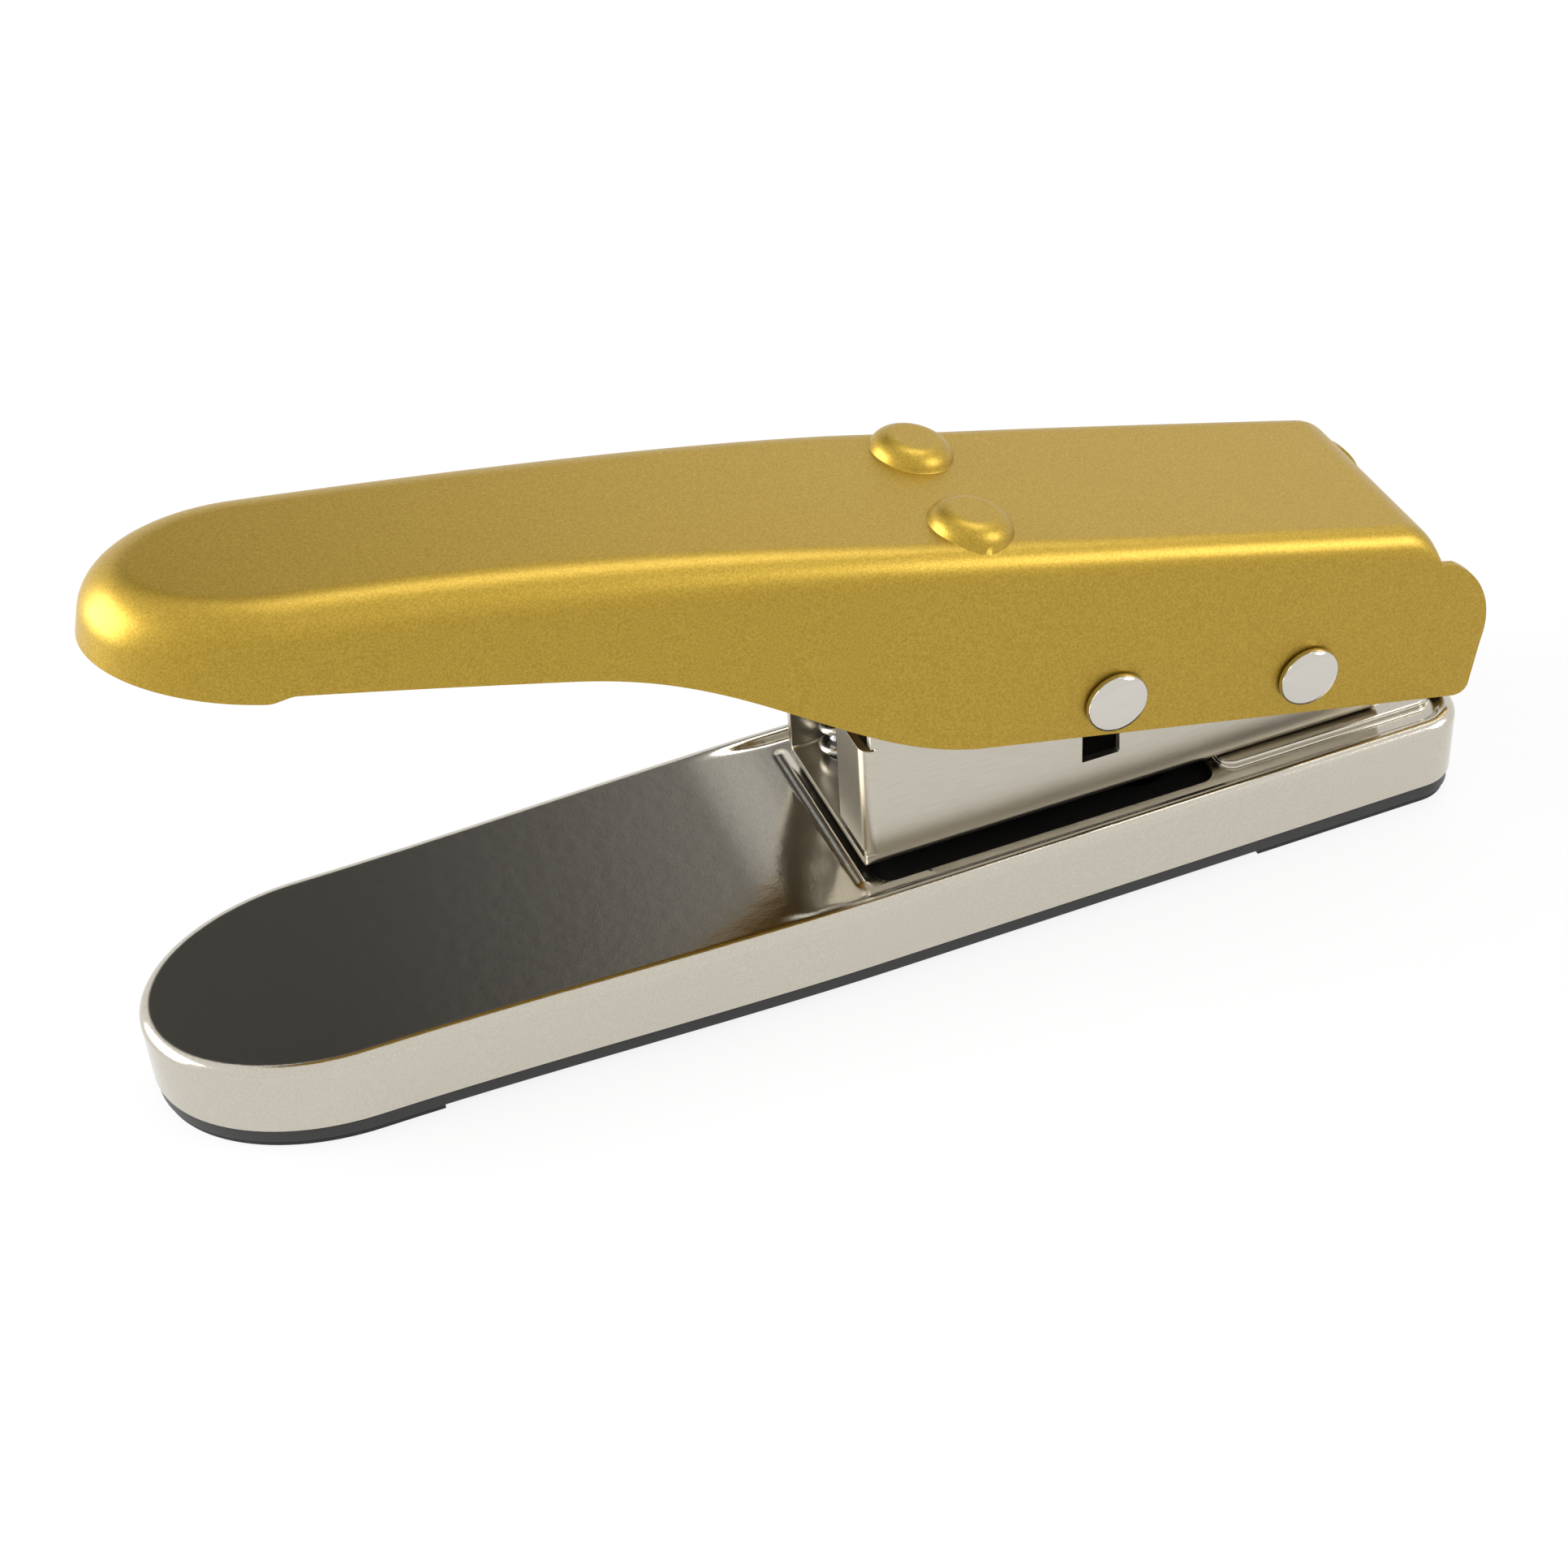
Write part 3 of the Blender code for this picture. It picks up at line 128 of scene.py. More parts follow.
def choose(piece, kind, wanted):
    """In edit mode, selects the points, edges or faces that are wanted."""
    bpy.ops.mesh.select_mode(type=kind)
    bpy.ops.mesh.select_all(action="DESELECT")
    mesh = bmesh.from_edit_mesh(piece.data)
    mesh.normal_update()
    items = {"VERT": mesh.verts, "EDGE": mesh.edges, "FACE": mesh.faces}[kind]
    for item in items:
        if wanted(item):
            item.select_set(True)
    mesh.select_flush_mode()
    bmesh.update_edit_mesh(piece.data)


def faces_up(face):
    return face.normal.z > 0.9


def faces_down(face):
    return face.normal.z < -0.9


def upright(edge):
    return abs(edge.verts[0].co.z - edge.verts[1].co.z) > NEAR


def upright_at(x):
    """A test for the upright edges at one place along the tool."""
    return lambda edge: upright(edge) and all(abs(v.co.x - x) < NEAR for v in edge.verts)


def cut_along(planes, normal):
    """In edit mode, cuts all the selected geometry along planes with one normal, and keeps both sides."""
    for place in planes:
        bpy.ops.mesh.select_all(action="SELECT")
        bpy.ops.mesh.bisect(plane_co=place, plane_no=normal)


def cut_round_end(piece, places):
    """In edit mode, cuts the one many-sided face of a rounded end across, at places along the tool."""
    for x in places:
        choose(piece, "FACE", lambda f: faces_up(f) and len(f.verts) > MANY_SIDES)
        bpy.ops.mesh.bisect(plane_co=(x, 0, 0), plane_no=(1, 0, 0))


def merge_points(distance):
    """In edit mode, merges all points that are closer together than this."""
    bpy.ops.mesh.select_all(action="SELECT")
    bpy.ops.mesh.remove_doubles(threshold=distance)


def round_edges(radius, steps):
    """In edit mode, rounds the selected edges."""
    bpy.ops.mesh.bevel(offset=radius, segments=steps, affect="EDGES")


def stretch(along, across, centre):
    """In edit mode, stretches what is selected along the tool and across it, about a point."""
    bpy.ops.transform.resize(value=(along, across, 1), center_override=centre)


# %% Start, modify and cut
def settle(piece):
    """Puts a piece's place, turn and size into its mesh."""
    select_only(piece)
    bpy.ops.object.transform_apply(location=True, rotation=True, scale=True)
    return piece


def add_block(name, low, high):
    """A block between two corners."""
    size = [b - a for a, b in zip(low, high)]
    centre = [(a + b) / 2 for a, b in zip(low, high)]
    bpy.ops.object.select_all(action="DESELECT")
    bpy.ops.mesh.primitive_cube_add(size=1, location=centre, scale=size)
    piece = bpy.context.object
    piece.name = piece.data.name = name
    return settle(piece)


def add_rod(name, radius, low, high, steps=64):
    """A round rod from one point to another, which lies straight along X, Y or Z from it."""
    low, high = Vector(low), Vector(high)
    turn = (high - low).to_track_quat("Z", "Y").to_euler()
    bpy.ops.object.select_all(action="DESELECT")
    bpy.ops.mesh.primitive_cylinder_add(
        vertices=steps, radius=radius, depth=(high - low).length, location=(low + high) / 2, rotation=turn
    )
    piece = bpy.context.object
    piece.name = piece.data.name = name
    return settle(piece)


def modify(piece, kind, **settings):
    """Adds a modifier with its settings and applies it."""
    modifier = piece.modifiers.new(kind.lower(), kind)
    for name, value in settings.items():
        setattr(modifier, name, value)
    select_only(piece)
    bpy.ops.object.modifier_apply(modifier=modifier.name)


def cut(piece, tool, operation="DIFFERENCE"):
    """Cuts a tool out of a piece, or joins it on, and throws the tool away."""
    modify(piece, "BOOLEAN", object=tool, operation=operation, solver="EXACT")
    bpy.data.objects.remove(tool, do_unlink=True)


def drawn_tool(name, points, low, high):
    """A tool with a drawn side view: an outline of (x, z) points, filled and thick from low to high."""
    curve = bpy.data.curves.new(name, "CURVE")
    curve.dimensions = "2D"
    curve.fill_mode = "BOTH"
    curve.extrude = (high - low) / 2
    line = curve.splines.new("POLY")
    line.points.add(len(points) - 1)
    for point, (x, z) in zip(line.points, points):
        point.co = (x, z, 0, 1)
    line.use_cyclic_u = True
    tool = put_in_scene(name, curve)
    tool.rotation_euler = (math.pi / 2, 0, 0)
    tool.location = (0, (low + high) / 2, 0)
    select_only(tool)
    bpy.ops.object.convert(target="MESH")
    settle(tool)
    edit(tool)
    merge_points(NEAR)
    bpy.ops.mesh.normals_make_consistent(inside=False)
    done()
    return tool


SHARP_ANGLE = math.radians(38)


def soften(piece, width):
    """Rounds the cut edges a little, and keeps the flat faces flat to the eye."""
    modify(
        piece, "BEVEL", width=width, segments=2, limit_method="ANGLE", angle_limit=SHARP_ANGLE,
        use_clamp_overlap=False, miter_outer="MITER_ARC",
    )
    select_only(piece)
    bpy.ops.object.shade_smooth_by_angle(angle=SHARP_ANGLE)
    modify(piece, "WEIGHTED_NORMAL", keep_sharp=True)


def measure(piece):
    """Prints how many faces a piece has and how big it is."""
    corners = [Vector(corner) for corner in piece.bound_box]
    size = [(max(c[k] for c in corners) - min(c[k] for c in corners)) / MM for k in range(3)]
    lengths = " x ".join(f"{value:.1f}" for value in size)
    print(f"{piece.name}: {len(piece.data.polygons)} faces, {lengths} mm")


# %% [markdown]
# ## Colours and nodes
#
# Colours are written as they look on a screen, and Blender's shaders want them linear, so one function
# turns them. Another adds a node with its settings and its links in one line, which keeps each material
# short, and a third starts a material with its tone, its roughness and its share of metal.

# %% Colours, nodes and new materials
def colour(code):
    """A colour such as #C9A52E as the linear red, green, blue and alpha that a shader takes."""
    shares = [int(code[i : i + 2], 16) / 255 for i in (1, 3, 5)]
    linear = [s / 12.92 if s <= 0.04045 else ((s + 0.055) / 1.055) ** 2.4 for s in shares]
    return (*linear, 1.0)


def add_node(material, kind, settings=None, links=None):
    """Adds a node. Settings are socket values or the node's own properties, and links are socket to output.

    A socket goes by its name, or by its number where several have one name.
    """
    tree = material.node_tree
    new = tree.nodes.new(kind)
    for name, value in (settings or {}).items():
        if isinstance(name, int) or name in new.inputs:
            new.inputs[name].default_value = value
        else:
            setattr(new, name, value)
    for name, output in (links or {}).items():
        tree.links.new(output, new.inputs[name])
    return new


def new_finish(name, base, roughness, metallic, more=None):
    """A material with one shader, and the output of the object's own coordinates for its patterns."""
    material = bpy.data.materials.new(name)
    material.use_nodes = True
    shader = material.node_tree.nodes["Principled BSDF"]
    settings = {"Base Color": colour(base), "Roughness": roughness, "Metallic": metallic} | (more or {})
    for socket, value in settings.items():
        shader.inputs[socket].default_value = value
    return material, add_node(material, "ShaderNodeTexCoord").outputs["Object"]


# %% [markdown]
# ## The handle
#
# The real handle is one sheet of steel, 1.3 mm thick. A press draws its rounded nose and folds its sides
# down, trims the skirt, and pushes up two round pockets that hold the tops of the springs. It could be
# drawn as curves and skinned, but then the roundings are hard to hold. A block is easier: its nose and
# its top edges are bevelled, it is narrowed at the grip, opened at the bottom, and only then given the
# thickness of the sheet. It is made level, with the rear rivet at the origin, and tilted open at the end.

# %% Sizes of the handle
PIVOT = Vector((73.614 * MM, 0.0, 31.0 * MM))
OPEN_ANGLE = math.radians(15.0)
HALF_HANDLE = 19.1 * MM
HALF_GRIP = 16.9 * MM
GRIP_LENGTH = 158.1 * MM
SHOULDER_LENGTH = 60.0 * MM
HANDLE_NOSE = 22.9 * MM
HANDLE_TOP = 23.5 * MM
HANDLE_SHEET = 1.3 * MM
HANDLE_EDGE = 4.0 * MM
GRIP_EDGE = 6.5 * MM
TOP_ARC_START = 68.6 * MM
TOP_ARC_RADIUS = 765.0 * MM
EAR_REACH = 30.9 * MM
EAR_SHOULDER = 17.8 * MM
REAR_BEND_START = 11.5 * MM
REAR_BEND = 7.5 * MM
REAR_BEND_STEP = 9
REAR_BEND_TURNS = [REAR_BEND_STEP * i for i in range(8)]
ROW_STEP = 4.9 * MM
ROWS = 32
ROWS_UNDER_POCKETS = (19, 20, 21)
NOSE_ROW_STEP = 2.5 * MM
NOSE_ROWS = 5
NOSE_STEPS = 28
EDGE_STEPS = 10
OVERRUN = 2.0 * MM
SKIRT_LOW = 9.4 * MM


def smooth_step(share):
    share = min(max(share, 0.0), 1.0)
    return share * share * (3 - 2 * share)


def handle_width_share(x):
    """The handle's width at a place along it, as a share of its full width over the frame."""
    widening = smooth_step((x + GRIP_LENGTH) / (GRIP_LENGTH - SHOULDER_LENGTH))
    return (HALF_GRIP + (HALF_HANDLE - HALF_GRIP) * widening) / HALF_HANDLE


def handle_fall(x):
    """How far the top has fallen at a place along it: level over the frame, then one long arc to the nose."""
    past = max(-x - TOP_ARC_START, 0.0)
    return TOP_ARC_RADIUS - math.sqrt(TOP_ARC_RADIUS**2 - past**2)


def rear_bend_point(turn, radius=REAR_BEND):
    """A point of the bend at the rear end of the top, by how far it has turned down, in degrees."""
    turned = math.radians(turn)
    return REAR_BEND_START + radius * math.sin(turned), HANDLE_TOP - REAR_BEND + radius * math.cos(turned)


def handle_edge(x):
    """The radius of the top edge, which grows from the frame to the grip."""
    share = smooth_step((-x - TOP_ARC_START / 2) / (GRIP_LENGTH - TOP_ARC_START))
    return HANDLE_EDGE + (GRIP_EDGE - HANDLE_EDGE) * share


# %% Draw the handle's nose and widen its shoulders
TOP_END = rear_bend_point(REAR_BEND_TURNS[-1])[0]
nose_start = -GRIP_LENGTH - HALF_HANDLE
skirt_floor = -SKIRT_LOW - OVERRUN
handle = add_block(
    "handle_pressing", (nose_start, -HALF_HANDLE, skirt_floor), (EAR_REACH + OVERRUN, HALF_HANDLE, HANDLE_TOP)
)
edit(handle)
choose(handle, "FACE", lambda f: faces_down(f) or f.normal.x > 0.9)
bpy.ops.mesh.delete(type="FACE")
choose(handle, "EDGE", upright_at(nose_start))
round_edges(HALF_HANDLE - NEAR / 2, NOSE_STEPS)
merge_points(2 * NEAR)
stations = [-GRIP_LENGTH + ROW_STEP * i for i in range(1, ROWS + 1) if i not in ROWS_UNDER_POCKETS]
stations += [rear_bend_point(turn)[0] for turn in REAR_BEND_TURNS]
cut_along([(x, 0, 0) for x in stations], (1, 0, 0))
for x in stations:
    choose(handle, "VERT", lambda v: abs(v.co.x - x) < NEAR)
    stretch(1, handle_width_share(x), (x, 0, 0))
choose(handle, "VERT", lambda v: v.co.x < -GRIP_LENGTH + NEAR)
stretch(HANDLE_NOSE / HALF_HANDLE, HALF_GRIP / HALF_HANDLE, (-GRIP_LENGTH, 0, 0))
done()
measure(handle)

# %% [markdown]
# The top falls towards the nose in a long arc, and its edge gets rounder there. A press forms both at
# once. The points of the top are moved down row by row, and the edge is bevelled with a weight for each
# of its edges, so that the radius can grow along the handle. At the rear the top bends down between the
# ears. There all that stands above the ears is pressed flatter row by row, so that the rounded edges run
# out into the ears. The top ends at the last of these rows, and only the two walls go on behind it, as
# the ears.

# %% Bend the top down and round its edge
edit(handle)
rows = sorted({round(v.co.x, 6) for v in bmesh.from_edit_mesh(handle.data).verts if v.co.z > 0})
for x in rows:
    choose(handle, "VERT", lambda v: abs(v.co.x - x) < NEAR / 4 and v.co.z > 0)
    bpy.ops.transform.translate(value=(0, 0, -handle_fall(x)))
mesh = bmesh.from_edit_mesh(handle.data)
weight = mesh.edges.layers.float.get("bevel_weight_edge") or mesh.edges.layers.float.new("bevel_weight_edge")
for rim in mesh.edges:
    steep = [abs(face.normal.z) < 0.5 for face in rim.link_faces]
    if len(steep) == 2 and steep[0] != steep[1]:
        rim[weight] = handle_edge((rim.verts[0].co.x + rim.verts[1].co.x) / 2) / GRIP_EDGE
bmesh.update_edit_mesh(handle.data)
done()
modify(handle, "BEVEL", width=GRIP_EDGE, segments=EDGE_STEPS, limit_method="WEIGHT", use_clamp_overlap=False)
edit(handle)
mesh = bmesh.from_edit_mesh(handle.data)
for v in mesh.verts:
    if v.co.x > REAR_BEND_START and v.co.z > EAR_SHOULDER:
        past = min(v.co.x, TOP_END) - REAR_BEND_START
        fall = REAR_BEND - math.sqrt(REAR_BEND**2 - past**2)
        v.co.z -= (v.co.z - EAR_SHOULDER) * fall / (HANDLE_TOP - EAR_SHOULDER)
bmesh.update_edit_mesh(handle.data)
choose(handle, "FACE", lambda f: all(v.co.x > TOP_END - NEAR and v.co.z > EAR_SHOULDER for v in f.verts))
bpy.ops.mesh.delete(type="FACE")
cut_round_end(handle, [-GRIP_LENGTH - NOSE_ROW_STEP * i for i in range(1, NOSE_ROWS + 1)])
done()
modify(handle, "SOLIDIFY", thickness=HANDLE_SHEET, offset=-1, use_even_offset=True)
measure(handle)

# %% [markdown]
# ## Trimming the handle
#
# The trimming die leaves the curve of the skirt, the round ears at the rear and the square end of the
# top. Its outline is drawn in side view and kept where it meets the sheet. The curve of the skirt is an
# S, steepest in the middle, from the shallow grip to the deep sides. The sheet could be cut along the
# curve edge by edge, but one cut with a drawn die trims both walls alike.

# %% Trim the skirt and the ears
EAR_RADIUS = 14.8 * MM
EAR_CENTRE = (EAR_REACH - EAR_RADIUS, 4.2 * MM)
EAR_FOOT_REACH = 31.7 * MM
SKIRT_REAR = 6.2 * MM
SKIRT_GRIP = 6.2 * MM
SKIRT_NOSE = 5.1 * MM
SKIRT_FRONT = 54.0 * MM
SKIRT_CURVE = 66.0 * MM
SKIRT_CORNER = 2.0 * MM
SKIRT_POWER = 1.25
SKIRT_STEPS = 36
STEP_UP_STEPS = 8
EAR_STEPS = 22
CORNER_STEPS = 6
DIE_HEIGHT = 10.0 * MM


def arc(centre, radius, start, end, steps):
    """Points on an arc, with its angles in degrees and both ends included."""
    turns = [math.radians(start + (end - start) * i / steps) for i in range(steps + 1)]
    return [(centre[0] + radius * math.cos(t), centre[1] + radius * math.sin(t)) for t in turns]


def trimmed_side():
    """The outline of the trimming die: down the nose, back along the skirt and up round the ears."""
    above = HANDLE_TOP + DIE_HEIGHT
    nose = -GRIP_LENGTH - HANDLE_NOSE - OVERRUN
    points = [(nose, above), (nose, SKIRT_NOSE)]
    for i in range(STEP_UP_STEPS + 1):
        share = i / STEP_UP_STEPS
        x = -GRIP_LENGTH - SKIRT_CORNER * (1 - 2 * share)
        points.append((x, SKIRT_NOSE + (SKIRT_GRIP - SKIRT_NOSE) * smooth_step(share)))
    for i in range(SKIRT_STEPS + 1):
        share = i / SKIRT_STEPS
        drop = (SKIRT_GRIP + SKIRT_LOW) * smooth_step(share) ** SKIRT_POWER
        points.append((-SKIRT_FRONT - SKIRT_CURVE * (1 - share), SKIRT_GRIP - drop))
    slope = (SKIRT_LOW - SKIRT_REAR) / (EAR_FOOT_REACH + SKIRT_FRONT)
    corner_x = EAR_FOOT_REACH - SKIRT_CORNER
    points.append((corner_x, -SKIRT_REAR - slope * SKIRT_CORNER))
    points += arc((corner_x, SKIRT_CORNER - SKIRT_REAR), SKIRT_CORNER, -80, 0, CORNER_STEPS)
    last = math.degrees(math.acos((TOP_END - EAR_CENTRE[0]) / EAR_RADIUS))
    points += arc(EAR_CENTRE, EAR_RADIUS, 0, last, EAR_STEPS)
    return points + [(TOP_END, above)]


reach = HALF_HANDLE + OVERRUN
cut(handle, drawn_tool("trimming_die", trimmed_side(), -reach, reach), "INTERSECT")
measure(handle)

# %% [markdown]
# ## The rear bend
#
# Behind the frame the top of the real handle goes on in a tight bend and ends in a short upright strip
# between the ears. It could be folded with the rest of the sheet, but there the fold would run into the
# ears. So a strip with the section of the bend is drawn in side view and joined on. It is narrower than
# the top, which leaves the small notch that a press needs at each corner.

# %% Bend the top sheet down behind the frame
BACK_FLANGE_BOTTOM = 13.0 * MM
HALF_BACK = 15.6 * MM
flange_turns = [REAR_BEND_TURNS[-1] + REAR_BEND_STEP * i for i in range(-1, 4)]
flange_face = REAR_BEND_START + REAR_BEND
back = [rear_bend_point(turn) for turn in flange_turns]
back += [(flange_face, BACK_FLANGE_BOTTOM), (flange_face - HANDLE_SHEET, BACK_FLANGE_BOTTOM)]
back += [rear_bend_point(turn, REAR_BEND - HANDLE_SHEET) for turn in reversed(flange_turns)]
cut(handle, drawn_tool("back_flange", back, -HALF_BACK, HALF_BACK), "UNION")

# %% [markdown]
# ## Spring pockets
#
# Each pocket is a blunt round cone pushed up from below. On the real handle its foot makes a tight inside
# corner with the sheet, which shows as a thin dark line, and its crown is softly rounded. A rod is
# narrowed at its top and bevelled for the crown. It is joined on, and the space for the spring is cut out
# under it. The inside corner at its foot is softened later, together with the cut edges.

# %% Push up the spring pockets
POCKET_AHEAD = 59.3 * MM
POCKET_SPACING = 20.6 * MM
POCKET_FOOT = 6.8 * MM
POCKET_START = HANDLE_TOP - 1.1 * MM
POCKET_CROWN = 5.4 * MM
POCKET_HEIGHT = 2.6 * MM
POCKET_ROUNDING = 2.2 * MM
POCKET_STEPS = 72
CROWN_STEPS = 8


def add_cone(name, centre, foot, crown, low, high, rounding):
    """A rod narrowed towards its top, with a rounded crown."""
    cone = add_rod(name, foot, (*centre, low), (*centre, high), POCKET_STEPS)
    edit(cone)
    choose(cone, "FACE", faces_up)
    stretch(crown / foot, crown / foot, (*centre, high))
    if rounding:
        choose(cone, "EDGE", lambda e: all(v.co.z > high - NEAR for v in e.verts))
        round_edges(rounding, CROWN_STEPS)
    done()
    return cone


for side in (1, -1):
    centre = (-POCKET_AHEAD, side * POCKET_SPACING / 2)
    dome = add_cone(
        "pocket", centre, POCKET_FOOT, POCKET_CROWN, POCKET_START, HANDLE_TOP + POCKET_HEIGHT, POCKET_ROUNDING
    )
    cut(handle, dome, "UNION")
    space = add_cone(
        "pocket_space", centre, POCKET_FOOT - HANDLE_SHEET, POCKET_CROWN - HANDLE_SHEET,
        HANDLE_TOP - 2 * HANDLE_SHEET, HANDLE_TOP + POCKET_HEIGHT - HANDLE_SHEET, 0,
    )
    cut(handle, space)

# %% [markdown]
# ## Holes and edges
#
# Two rivets go through both walls of the handle. The real holes are punched in the flat sheet, but here
# one rod drills both walls at once, so that the holes line up. The edges that the dies left sharp are
# then broken by less than a tenth of a millimetre, because a lacquered edge catches a thin line of light.
# A wider bevel would be more visible, but it runs out of room in the tight corners of the ears.

# %% Drill the rivet holes, soften the cut edges and tilt the handle open
PIN_PLACES = ((-32.95 * MM, -2.2 * MM), (0.0, 0.0))
PIN_RADIUS = 2.4 * MM
CLEAR = 0.3 * MM
HOLE_STEPS = 48
TRIM_SOFTNESS = 0.08 * MM
for along, up in PIN_PLACES:
    cut(handle, add_rod("drill", PIN_RADIUS + CLEAR, (along, -reach, up), (along, reach, up), HOLE_STEPS))
soften(handle, TRIM_SOFTNESS)


def open_up(piece):
    """Tilts a piece made in the handle's own level frame to the open pose, about the rear rivet."""
    piece.matrix_world = Matrix.Translation(PIVOT) @ Matrix.Rotation(OPEN_ANGLE, 4, "Y")
    return settle(piece)


open_up(handle)
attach(handle, "handle")
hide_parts("handle_shell")
measure(handle)

# %% [markdown]
# ## The base
#
# The base is pressed from one sheet too. Its plan is a long rounded bar: half an ellipse at the nose,
# sides that swell a little as far as the frame, and small corners at the rear. The cover and the feet
# under it have the same plan, drawn in by a step each, so one function makes a block with that plan for
# all of them.

# %% A block with the plan of the base
BASE_FRONT = -105.18 * MM
BASE_REAR = 102.31 * MM
BASE_NOSE = 28.6 * MM
HALF_NOSE = 20.9 * MM
HALF_BASE = 23.1 * MM
HALF_REAR = 22.8 * MM
BASE_CORNER = 7.3 * MM
FRAME_FRONT = 2.32 * MM
NOSE_CENTRE = BASE_FRONT + BASE_NOSE
CLEAR_OF_CORNER = 1.0 * MM
BASE_ROWS = 30
CLOSEST_ROWS = 4 * MM
BASE_CORNER_STEPS = 10


def half_base(x):
    """Half the width of the base at a place along it."""
    if x < NOSE_CENTRE:
        along = min((NOSE_CENTRE - x) / BASE_NOSE, 1.0)
        return HALF_NOSE * math.sqrt(1 - along**2)
    if x < FRAME_FRONT:
        widening = smooth_step((x - NOSE_CENTRE) / (FRAME_FRONT - NOSE_CENTRE))
        return HALF_NOSE + (HALF_BASE - HALF_NOSE) * widening
    return HALF_BASE + (HALF_REAR - HALF_BASE) * (x - FRAME_FRONT) / (BASE_REAR - BASE_CORNER - FRAME_FRONT)


def add_plan_block(name, inset, low, high, cuts=()):
    """A block with the plan of the base, drawn in by an inset, with extra rows cut at the given places."""
    half = HALF_NOSE - inset
    start = NOSE_CENTRE - half
    block = add_block(name, (start, -half, low), (BASE_REAR - inset, half, high))
    edit(block)
    choose(block, "EDGE", upright_at(start))
    round_edges(half - NEAR / 2, NOSE_STEPS)
    merge_points(2 * NEAR)
    span = BASE_REAR - BASE_CORNER - NOSE_CENTRE - CLEAR_OF_CORNER
    stations = [NOSE_CENTRE + span * i / BASE_ROWS for i in range(1, BASE_ROWS + 1)]
    stations = [x for x in stations if all(abs(x - place) > CLOSEST_ROWS for place in cuts)] + list(cuts)
    cut_along([(x, 0, 0) for x in stations], (1, 0, 0))
    for x in stations + [BASE_REAR - inset]:
        choose(block, "VERT", lambda v: abs(v.co.x - x) < NEAR)
        wide = (half_base(min(x, BASE_REAR - BASE_CORNER)) - inset) / half
        stretch(1, wide, (x, 0, 0))
    choose(block, "VERT", lambda v: v.co.x < NOSE_CENTRE + NEAR)
    stretch((BASE_NOSE - inset) / half, 1, (NOSE_CENTRE, 0, 0))
    choose(block, "EDGE", upright_at(BASE_REAR - inset))
    round_edges(BASE_CORNER - inset, BASE_CORNER_STEPS)
    done()
    return block


# %% [markdown]
# The sheet starts as such a block with its bottom taken off and its top edge rounded. Rings are inset in
# its top, and rows are cut close together where the thumb area falls to the frame, so that the press tool
# has points to move. Then the tool comes down. Beside and behind the frame it sinks a deck by 1.2 mm,
# inside a narrow rim that stays up, and the level thumb area runs down to that deck in a soft ramp with a
# round-ended bead at its foot. Points that are moved by a formula give a smoother mirror than ones that
# are pushed by hand, and this top is nearly a mirror.

# %% Press the deck and the bead
BASE_TOP = 14.4 * MM
BASE_SHEET = 1.0 * MM
WALL_FOOT = 3.6 * MM
BASE_SHOULDER = 1.8 * MM
RIM_HEIGHT = 1.2 * MM
RIM_TOP = BASE_TOP + RIM_HEIGHT
RIM_SLOPE = 1.9 * MM
THUMB_RAMP = 16.0 * MM
BEAD_AHEAD = 1.1 * MM
BEAD_X = FRAME_FRONT - BEAD_AHEAD
BEAD_HALF_LENGTH = 18.0 * MM
BEAD_HALF_WIDTH = 1.5 * MM
BEAD_HEIGHT = 0.4 * MM
RIM_RINGS = 5
BEAD_RINGS = 10
BEAD_RING_STEP = 0.5 * MM
BEAD_ROW_STEP = 0.25 * MM
DECK_ROW_STEP = 2.0 * MM
DECK_ROWS = 9
SHOULDER_STEPS = 8
RINGS_END = BEAD_X + 11.0 * MM
SHEET_SOFTNESS = 0.12 * MM
LEVEL = 0.999


def rim_distance(x, y):
    """How far a point of the top lies inside the shoulder of the base."""
    if x < NOSE_CENTRE:
        out = math.hypot((NOSE_CENTRE - x) / BASE_NOSE, y / HALF_NOSE)
        return (1 - out) * HALF_NOSE - BASE_SHOULDER
    corner_x = BASE_REAR - BASE_CORNER
    past_x = x - corner_x
    past_y = abs(y) - half_base(min(x, corner_x)) + BASE_CORNER
    if past_x > 0 and past_y > 0:
        return BASE_CORNER - math.hypot(past_x, past_y) - BASE_SHOULDER
    return BASE_CORNER - max(past_x, past_y) - BASE_SHOULDER


def pressed_height(x, y):
    """How far the press tool moves a point of the top, up or down."""
    behind = 1 - smooth_step((BEAD_X - x) / THUMB_RAMP)
    dip = RIM_HEIGHT * behind * smooth_step(rim_distance(x, y) / RIM_SLOPE)
    past_end = max(abs(y) - BEAD_HALF_LENGTH + BEAD_HALF_WIDTH, 0.0)
    from_bead = min(math.hypot(x - BEAD_X, past_end) / BEAD_HALF_WIDTH, 1.0)
    return BEAD_HEIGHT * math.cos(from_bead * math.pi / 2) ** 2 - dip


